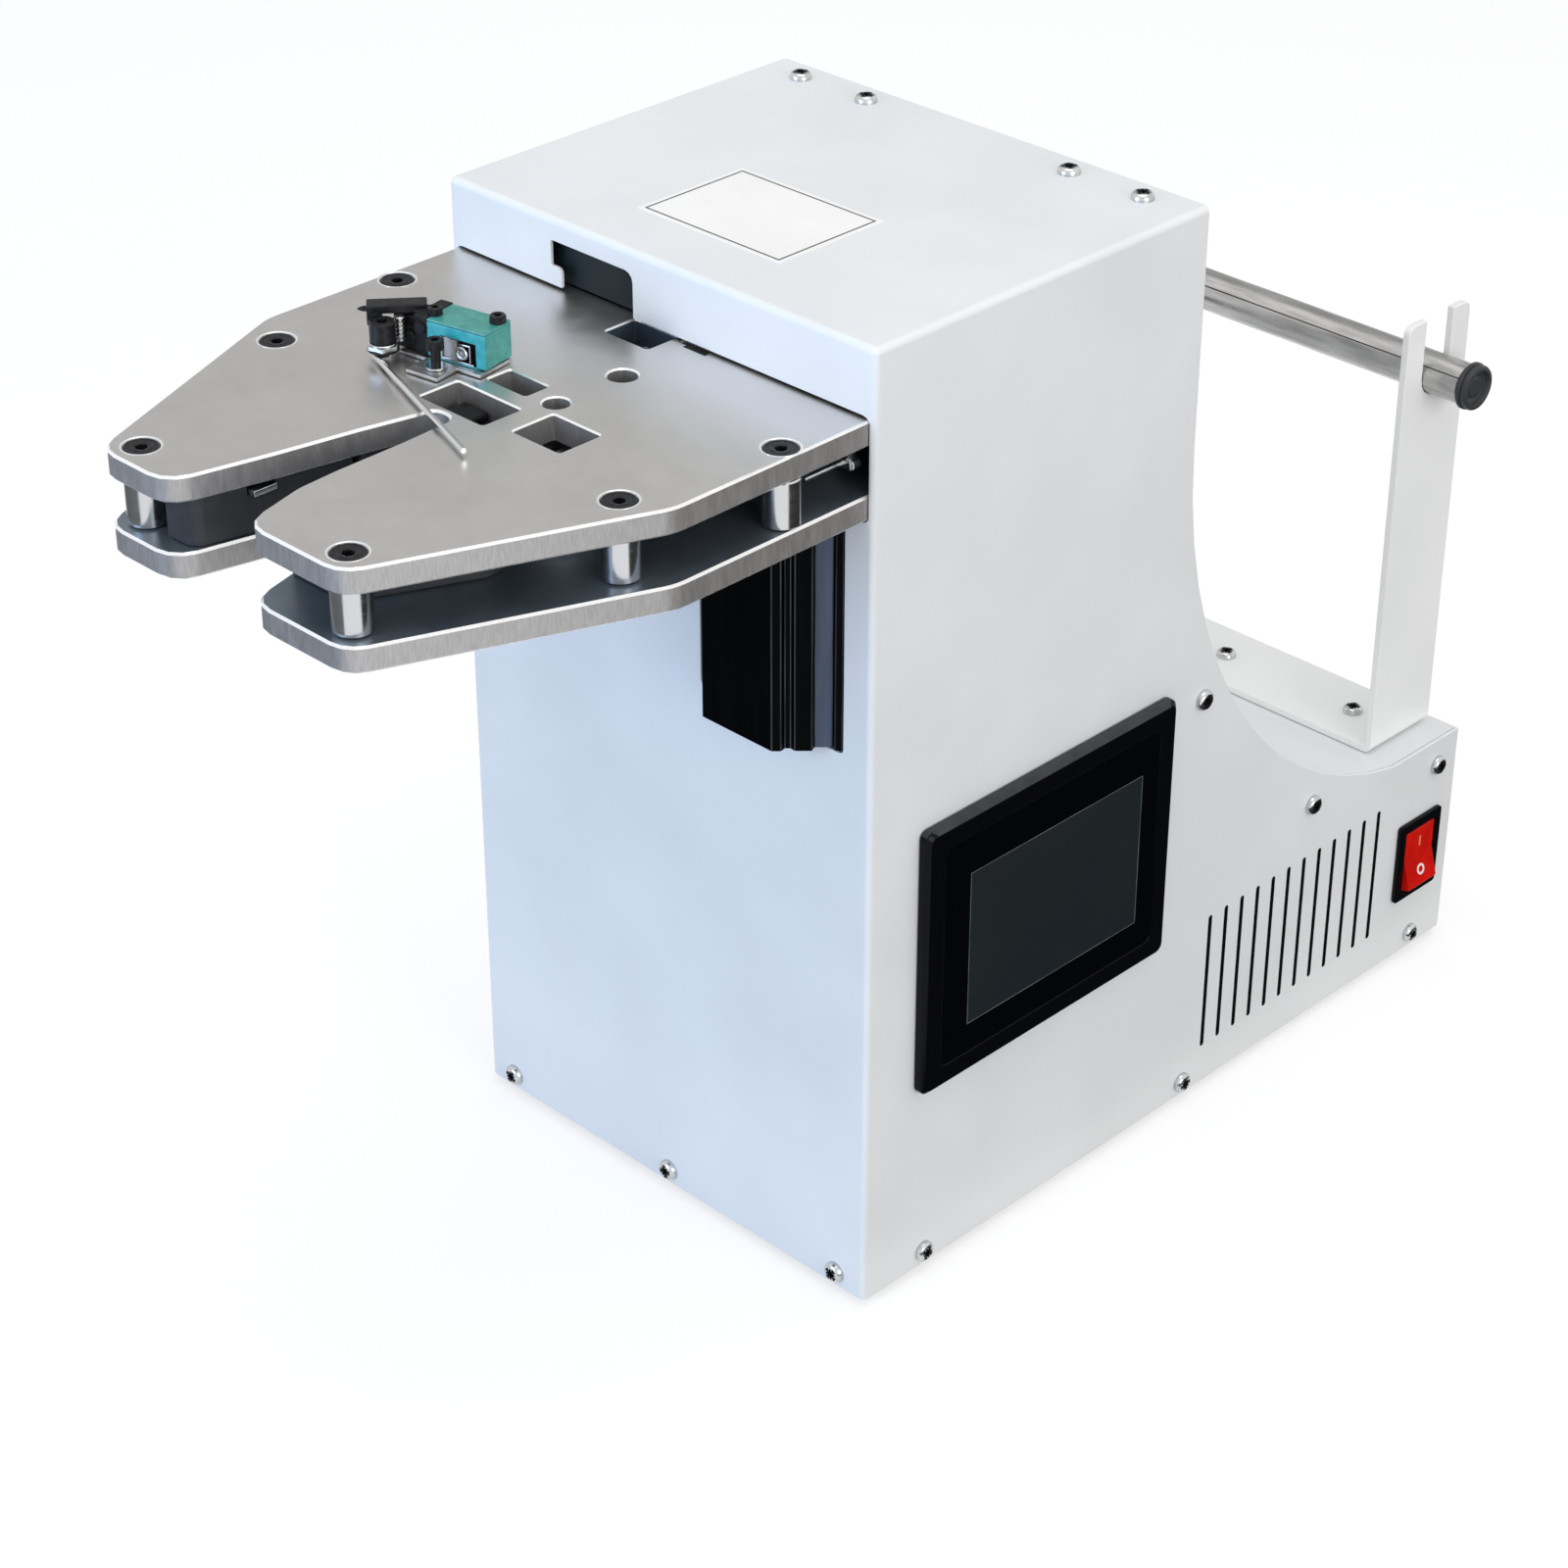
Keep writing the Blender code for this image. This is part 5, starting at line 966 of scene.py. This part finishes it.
def cap_screw(radius, tall, socket, shank=0.0, shank_length=0.0):
    """Socket cap screw standing on Z = 0, with a hexagon socket and a knurled head."""
    floor, lip, edge = tall - 1.3, tall - 0.1, 0.35
    profile = [(0, floor), (socket, floor), (socket, lip), (socket + 0.3, tall),
               (radius - edge, tall), (radius, tall - edge), (radius, 0)]
    if shank:
        profile += [(shank, 0), (shank, -shank_length)]
    profile.append((0, profile[-1][1]))
    mesh = turned(profile, SMALL_ROUND, {(socket, floor): hexagon, (socket, lip): hexagon})
    knurl(mesh, radius, SMALL_ROUND, 0.95)
    return mesh


def switch_body():
    """Switch's case with its terminal pocket, and the cover over it; the cover and the case's end
    face are in the darker teal copy, as painted shade.
    """
    length, width, bottom, seam = 13.5, 7, 1.5, 13.4
    case = block((-length, -width, bottom), (length, width, seam), 0)
    pocket(case, left=-4.5, right=9.4, bottom=1.9, top=9.6, depth=2.2, finish=1)
    # Painted shade: the case's end face in the darker teal
    paint(case, 2, lambda spot, normal: normal.x > 0.9 and spot.x > length - 0.5)
    break_edges(case, 0.5)
    switch_piece("switch_case", case, [switch_cyan, black_plastic, switch_shade_teal],
                 ["switch_body"])
    cover = block((-length, -width, seam), (length, width, SWITCH_TOP), 0.4)
    switch_piece("switch_cover", cover, switch_shade_teal)


def switch_terminal():
    """Bent strip, contact frame and screw in the pocket, with the tag beside them."""
    proud, deep = -7.05, -5.0
    strip = [block((-4.3, proud, 1.75), (8.6, deep, 2.5), 0.15),
             block((-4.5, proud, 2.3), (-3.9, deep, 9.5), 0.15),
             block((6.6, -6.7, 2.6), (7.2, deep, 8.4), 0.2),
             block((2.4, -6.6, 7.9), (7.0, deep, 8.5), 0.2),
             put(cap_screw(2.4, 1.6, 1.0), (3.6, -5.4, 5.2), (0, -1, 0))]
    switch_piece("switch_terminal", gather(strip), zinc)
    tag = block((-3.9, -6.2, 2.5), (1.6, -4.8, 9.2), 0.2)
    switch_piece("switch_tag", tag, plate_side)


def switch_fixings():
    """Two cover screws, the bracket's screw over its washer, and the bracket."""
    x, y = -2.2, -12.6
    screws = [put(cap_screw(2.7, 2.6, 1.2), (11.2, 3.2, SWITCH_TOP)),
              put(cap_screw(2.5, 2.6, 1.1), (-9.4, -2.6, SWITCH_TOP)),
              put(cap_screw(2.9, 3.4, 1.25, shank=1.6, shank_length=6.5), (x, y, 7.8))]
    switch_piece("switch_screws", gather(screws), black_screw)
    washer = put(ring(1.6, 3.5, 0, 0.8, 0.2, steps=SMALL_ROUND), (x, y, 1.3))
    switch_piece("switch_washer", washer, zinc)
    remake("switch_bracket_sheet", "switch_bracket", bracket_sheet, 0.25)


def switch_head():
    """Stepped head beside the case, with its collar, shaft end and three screws' ends."""
    parts = [block((-25.8, -6.25, 1.5), (-13.8, 6.25, 9.8), 0.5),
             block((-24.4, -5.4, 9.7), (-14.4, 5.4, 12.8), 0.6),
             block((-14.6, -7.3, 1.4), (-9.4, 7.3, 14.7), 0.5),
             block((-17.4, -4.4, 12.0), (-13.0, 1.4, 14.9), 0.7),
             put(stub(2.6, 0.8, 0.3), (-21.4, 1.6, 12.5))]
    for where in ((-16.6, -6.0, 6), (-22.6, -6.0, 6), (-11.9, -7.0, 10.6)):
        parts.append(put(stub(2.2, 1.4, 0.4), where, (0, -1, 0)))
    switch_piece("switch_head_block", gather(parts), black_plastic,
                 ["switch_head"])


# Lever


def lever_bar():
    """Flat bar turned out from the switch's shaft, with a web under its end and a stud on it."""
    hub, heading, half, end = (-43.5, -62.5, 0), math.radians(-130), 3.3, 16.2
    stud = turned([(0, 0), (1.0, 0), (0.9, 1.4), (0.3, 3.0), (0, 3.1)], 32)
    bar = [block((-half, -half, LEVER_LEVEL), (end, half, LEVER_LEVEL + 2.8), 0.5),
           block((end - 5, -half, LEVER_LEVEL - 4), (end, half - 0.1, LEVER_LEVEL + 0.4), 0.5),
           put(stud, (end - 0.2, 0, LEVER_LEVEL + 0.8), (1, 0, 0))]
    piece("lever_bar", put(gather(bar), hub, turn=heading), black_screw,
          ["switch_lever"], "trigger")


def lever_post():
    """Round post with a hexagon socket, and the collar low on its shank."""
    socket, radius, edge, top, end = 1.7, 4.3, 0.4, 360.3, 348.1
    floor, lip = top - 1.2, top - 0.1
    profile = [(0, floor), (socket, floor), (socket, lip), (socket + 0.3, top),
               (radius - edge, top), (radius, top - edge), (radius, POST_FOOT + edge),
               (radius - edge, POST_FOOT), (POST_BORE, POST_FOOT), (POST_BORE, end), (0, end)]
    post = turned(profile, 60, {(socket, floor): hexagon, (socket, lip): hexagon})
    # Painted shade in the socket
    paint(post, 1, lambda spot, normal: reach_of(spot) < socket and spot.z > top - 2)
    low = 350.3
    collar = turned([(POST_BORE, low), (5.0, low), (5.2, low + 0.2), (5.2, NUT_BOTTOM),
                     (POST_BORE, NUT_BOTTOM), (POST_BORE, low)])
    piece("lever_post", put(gather([post, collar]), POST), [black_screw, recess],
          ["lever_clamp"], "trigger")


def lever_nut():
    """Washer and hexagon nut under the post, the threaded stud beside it, and the rod."""
    radius, edge, nut_top, pitch, foot, core, crest = 4.6, 0.2, 352.6, 1.4, 352.0, 1.3, 1.7
    washer = ring(POST_BORE, 4.7, nut_top, POST_FOOT, edge, 0.15)
    nut = ring(POST_BORE, radius, NUT_BOTTOM, nut_top, edge, steps=60, shapes={
        (radius, NUT_BOTTOM + edge): hexagon, (radius, nut_top - edge): hexagon})
    thread = [(0, foot), (1.5, foot)]
    for step in range(6):
        level = foot + 0.3 + pitch * step
        thread += [(crest, level), (crest, level + 0.7), (core, level + 0.9), (core, level + 1.2)]
    thread += [(core, LEVER_LEVEL), (0, LEVER_LEVEL)]
    bright = gather([put(washer, POST), put(nut, POST, turn=math.radians(14.5)),
                     put(turned(thread, 32), (-43.9, -69.6, 0))])
    piece("lever_nut", bright, zinc, body="trigger")
    remake("polished_trigger_rod", "trigger_rod", spacer_steel, 0.2, "trigger")


# Right side


def screen_bezel():
    """Glossy moulded bezel with a painted highlight on its upper edge."""
    upper_part, facing_up = 180, 0.7
    mesh = clean_copy("screen_bezel")
    # Painted highlight on the faces that look up
    paint(mesh, 1, lambda spot, normal: normal.z > facing_up and spot.z > upper_part)
    break_edges(mesh, 0.5, 3)
    piece("moulded_bezel", mesh, [bezel_plastic, bezel_upper_highlight], ["screen_bezel"],
          smooth=ROUND_ANGLE)


def screen_glass():
    """Printed cover glass with the unlit display behind it, its thin border, and a lamp ring."""
    front, rear, bottom, top, border = 46.0, 137.0, 100.3, 163.2, 0.45
    low, high = corners("screen_glass")
    mesh = block(low, high, 0)
    cut_across(mesh, Y, (front, rear))
    cut_across(mesh, Z, (bottom, top))
    paint(mesh, 1, lambda spot, normal:
          abs(spot.x - high.x) < NEAR and front < spot.y < rear and bottom < spot.z < top)
    lit = [face for face in mesh.faces if face.material_index == 1]
    for face in bmesh.ops.inset_region(mesh, faces=lit, thickness=border, depth=0)["faces"]:
        face.material_index = 2
    piece("cover_glass", mesh, [glass_print, display, bezel_rim],
          ["screen_glass"])
    lamp = put(ring(0.8, 1.5, -HAIR, 0.05, steps=40), (high.x, 33.8, 180.8), (1, 0, 0))
    piece("lamp_ring", lamp, bezel_rim)


def rocker():
    """Red rocker with its two printed marks, in a black frame."""
    remake("rocker_bezel", "rocker_frame", bezel_plastic, 0.3)
    remake("red_rocker", "rocker", rocker_red, 0.35, "power_rocker", 3)
    axis, face, slope = Vector((99, 321.5, 45.35)), 2.971, math.radians(16)
    bar = put(block((-0.05, -0.45, -2.2), (0.12, 0.45, 2.2), 0), axis + Vector((face, 0, 6.9)))
    piece("rocker_bar", bar, orange_ink, body="power_rocker")
    mark = put(ring(1.35, 2.35, -0.05, 0.12, steps=SMALL_ROUND),
               axis + Vector((face + 1.79, 0, -5.83)), (math.cos(slope), 0, math.sin(slope)))
    piece("rocker_ring", mark, white_ink, body="power_rocker")


# Reel holder and inlets


def reel_holder():
    """Slotted bracket with its screws, and the tube with a thin dark line along it."""
    # The bracket wears the lighter copy of the coat, as painted light
    remake("folded_bracket", "reel_bracket", bracket_light_coat, 0.4)
    heads = [pan_head((x, BRACKET_SCREW_Y, BRACKET_TOP), (0, 0, 1), 0.5 + x)
             for x in BRACKET_SCREWS]
    piece("screws_bracket", gather(heads), [zinc, recess])
    tube = ring(TUBE_RADIUS - 1.5, TUBE_RADIUS, -TUBE_HALF, TUBE_HALF, 0.3, steps=TUBE_STEPS)
    mesh = put(tube, (0, TUBE_Y, TUBE_LEVEL), (1, 0, 0))
    paint(mesh, 1, lambda spot, normal:
          abs(math.atan2(spot.z - TUBE_LEVEL, TUBE_Y - spot.y) - DARK_LINE_AT) < math.pi / TUBE_STEPS
          and math.hypot(spot.z - TUBE_LEVEL, spot.y - TUBE_Y) > TUBE_RADIUS - 0.1)
    piece("reel_tube_steel", mesh, [tube_steel, tube_dark_line], ["reel_rod"],
          "reel_tube")


def end_caps():
    """Moulded caps with a flange, a groove and a ringed face, plugged into the tube's ends."""
    profile = [(0, -10), (6.2, -10), (6.2, 0.3), (8.6, 0.3), (9.2, 0.8), (9.2, 1.8), (8.9, 2.1),
               (8.4, 2.2), (8.4, 2.7), (8.8, 2.9), (8.8, 4.1), (8.4, 4.8), (7.6, 5), (7.0, 5),
               (6.5, 4.4), (6.2, 3.3), (4.4, 2.9), (3.9, 3.3), (3.3, 3.4), (0, 3.4)]
    for side, sign in (("left", -1), ("right", 1)):
        mesh = put(turned(profile), (sign * TUBE_HALF, TUBE_Y, TUBE_LEVEL), (sign, 0, 0))
        piece(f"end_cap_{side}", mesh, guide_dark, [f"rod_cap_{side}"],
              "reel_tube")


def inlets():
    """Mains inlet with bare pins, and the eyelet that the tie enters through."""
    pins, pin_half, level, half_height, front, rear = (-67, -60, -53), 1.01, 42, 4.1, 324.4, 335
    mesh = clean_copy("power_inlet")
    paint(mesh, 1, lambda spot, normal:
          min(abs(spot.x - pin) for pin in pins) < pin_half
          and abs(spot.z - level) < half_height and front < spot.y < rear)
    break_edges(mesh, 0.3)
    piece("inlet_socket_body", mesh, [black_plastic, zinc], ["power_inlet"])
    profile = [(4.5, -7.5), (5.0, -8), (7, -8), (7, 0.3), (9.6, 0.3), (10, 0.7), (10, 1.2),
               (9.2, 2), (5.3, 2), (4.5, 1.2), (4.5, -7.5)]
    piece("tie_eyelet_ring", put(turned(profile), (39.45, 161, 329.5), (0, 1, 0)),
          black_plastic, ["tie_eyelet"])


def electrics():
    """Boxes on the tray and the uprights."""
    remake("supply_case", "power_supply", zinc, 0.4)
    for node in ("controller", "feed_driver", "twist_driver"):
        remake(f"{node}_case", node, module_grey, 0.5)
    for side in ("left", "right"):
        remake(f"folded_upright_{side}", f"upright_{side}", zinc, 0.3)


# Stage


def empty_tree(owner):
    """Node tree of a material or a world, with nothing in it."""
    owner.use_nodes = True
    owner.node_tree.nodes.clear()
    return owner.node_tree


def seen_directly(tree):
    """Socket that is 1 for camera, glossy and transmission rays, and 0 for the others."""
    rays = add(tree, "ShaderNodeLightPath")
    seen = add(tree, "ShaderNodeMath", operation="MAXIMUM",
               inputs={0: rays.outputs["Is Camera Ray"], 1: rays.outputs["Is Glossy Ray"]})
    shown = add(tree, "ShaderNodeMath", operation="MAXIMUM",
                inputs={0: seen.outputs[0], 1: rays.outputs["Is Transmission Ray"]})
    return shown.outputs[0]


def flat_sheet(name, half_size):
    """Square sheet of the stage, facing up."""
    mesh = bmesh.new()
    bmesh.ops.create_grid(mesh, x_segments=1, y_segments=1, size=half_size)
    return object_of(name, mesh)


def paper_floor():
    """Pale paper floor, which glows towards the camera and still takes the shadow."""
    floor = flat_sheet("floor", 6)
    paper = bpy.data.materials.new("white_paper")
    tree = empty_tree(paper)
    raised = add(tree, "ShaderNodeMath", {0: seen_directly(tree), 1: FLOOR_GLOW},
                 operation="MULTIPLY")
    glow = add(tree, "ShaderNodeEmission", {"Color": WHITE, "Strength": raised.outputs[0]})
    flat = add(tree, "ShaderNodeBsdfDiffuse", {"Color": (FLOOR_GREY, FLOOR_GREY, FLOOR_GREY, 1)})
    both = add(tree, "ShaderNodeAddShader", {0: glow.outputs[0], 1: flat.outputs[0]})
    add(tree, "ShaderNodeOutputMaterial", {"Surface": both.outputs[0]})
    floor.data.materials.append(paper)


def studio_world():
    """Even light from all round, with a white backdrop where it is seen or mirrored."""
    world = bpy.data.worlds.new("studio")
    tree = empty_tree(world)
    level = add(tree, "ShaderNodeMix", data_type="FLOAT",
                inputs={"Factor": seen_directly(tree), "A": WORLD_LIGHT, "B": BACKDROP})
    sky = add(tree, "ShaderNodeBackground", {"Color": WHITE, "Strength": level.outputs[0]})
    add(tree, "ShaderNodeOutputWorld", {"Surface": sky.outputs[0]})
    bpy.context.scene.world = world


def soft_box(name, where, target, power, tint):
    """Square area lamp that aims at a point."""
    lamp = bpy.data.lights.new(name, "AREA")
    lamp.shape = "SQUARE"
    lamp.size = 1.2
    lamp.energy = power
    lamp.color = linear(tint)[:3]
    holder = link(bpy.data.objects.new(name, lamp))
    holder.location = where
    aim = Vector(target) - Vector(where)
    holder.rotation_euler = aim.to_track_quat("-Z", "Y").to_euler()


def photo_camera():
    """Camera with the photograph's place, direction and lens."""
    right = Vector((math.cos(VIEW_TURN), math.sin(VIEW_TURN), 0))
    back = Vector((math.sin(VIEW_TURN) * math.cos(VIEW_DROP),
                   -math.cos(VIEW_TURN) * math.cos(VIEW_DROP), math.sin(VIEW_DROP)))
    up = back.cross(right)
    spot = -(right * VIEW_SHIFT[0] + up * VIEW_SHIFT[1] + back * VIEW_SHIFT[2])
    lens = bpy.data.cameras.new("photo_view")
    lens.lens = VIEW_LENS
    lens.sensor_width = SENSOR
    lens.sensor_fit = "HORIZONTAL"
    lens.clip_start = 0.05
    lens.clip_end = 30
    camera = link(bpy.data.objects.new("photo_view", lens))
    turn = Matrix((right, up, back)).transposed().to_4x4()
    camera.matrix_world = Matrix.Translation(at(*spot)) @ turn
    bpy.context.scene.camera = camera


def reflection_card(name, where, facing, size, shade):
    """Grey card that only reflections see, so that metal shows more than the white backdrop."""
    card = flat_sheet(name, size / 2)
    card.location = where
    card.rotation_euler = Vector(facing).to_track_quat("Z", "Y").to_euler()
    paper = bpy.data.materials.new(f"{name}_paper")
    tree = empty_tree(paper)
    glow = add(tree, "ShaderNodeEmission", {"Color": (shade, shade, shade, 1), "Strength": 1.0})
    add(tree, "ShaderNodeOutputMaterial", {"Surface": glow.outputs[0]})
    card.data.materials.append(paper)
    card.visible_camera = False
    card.visible_diffuse = False
    card.visible_shadow = False
    card.visible_transmission = False


bpy.context.scene.view_settings.view_transform = "Standard"
paper_floor()
studio_world()
soft_box("overhead", (0.1, 0.0, 1.9), (0, 0, 0.2), 7.0, "ffffff")
soft_box("right_box", (2.2, -0.4, 0.8), (0, 0, 0.15), 17.0, "fffefc")
soft_box("front_box", (-0.5, -2.2, 0.7), (0, 0, 0.15), 27.0, "b4d4ff")
photo_camera()
reflection_card("rear_left_card", (-2.2, 2.2, 1.9), (1, -1, -0.7), 3.4, 0.54)
reflection_card("right_card", (0.715, 0.45, 0.002), (0, 0, 1), 1.2, 0.03)
reflection_card("front_card", (-0.5, -0.75, 0.002), (0, 0, 1), 1.2, 0.15)

for make in (housing, notch_shade_sheet, feet, housing_screws, label, plates, deck_trim,
             deck_fasteners, between_plates, gap_pin, hidden_drive, feed_roller, press_roller,
             ribbed_motor, round_motor, switch_body, switch_terminal, switch_fixings,
             switch_head, lever_bar, lever_post, lever_nut, screen_bezel, screen_glass, rocker,
             reel_holder, end_caps, inlets, electrics):
    make()
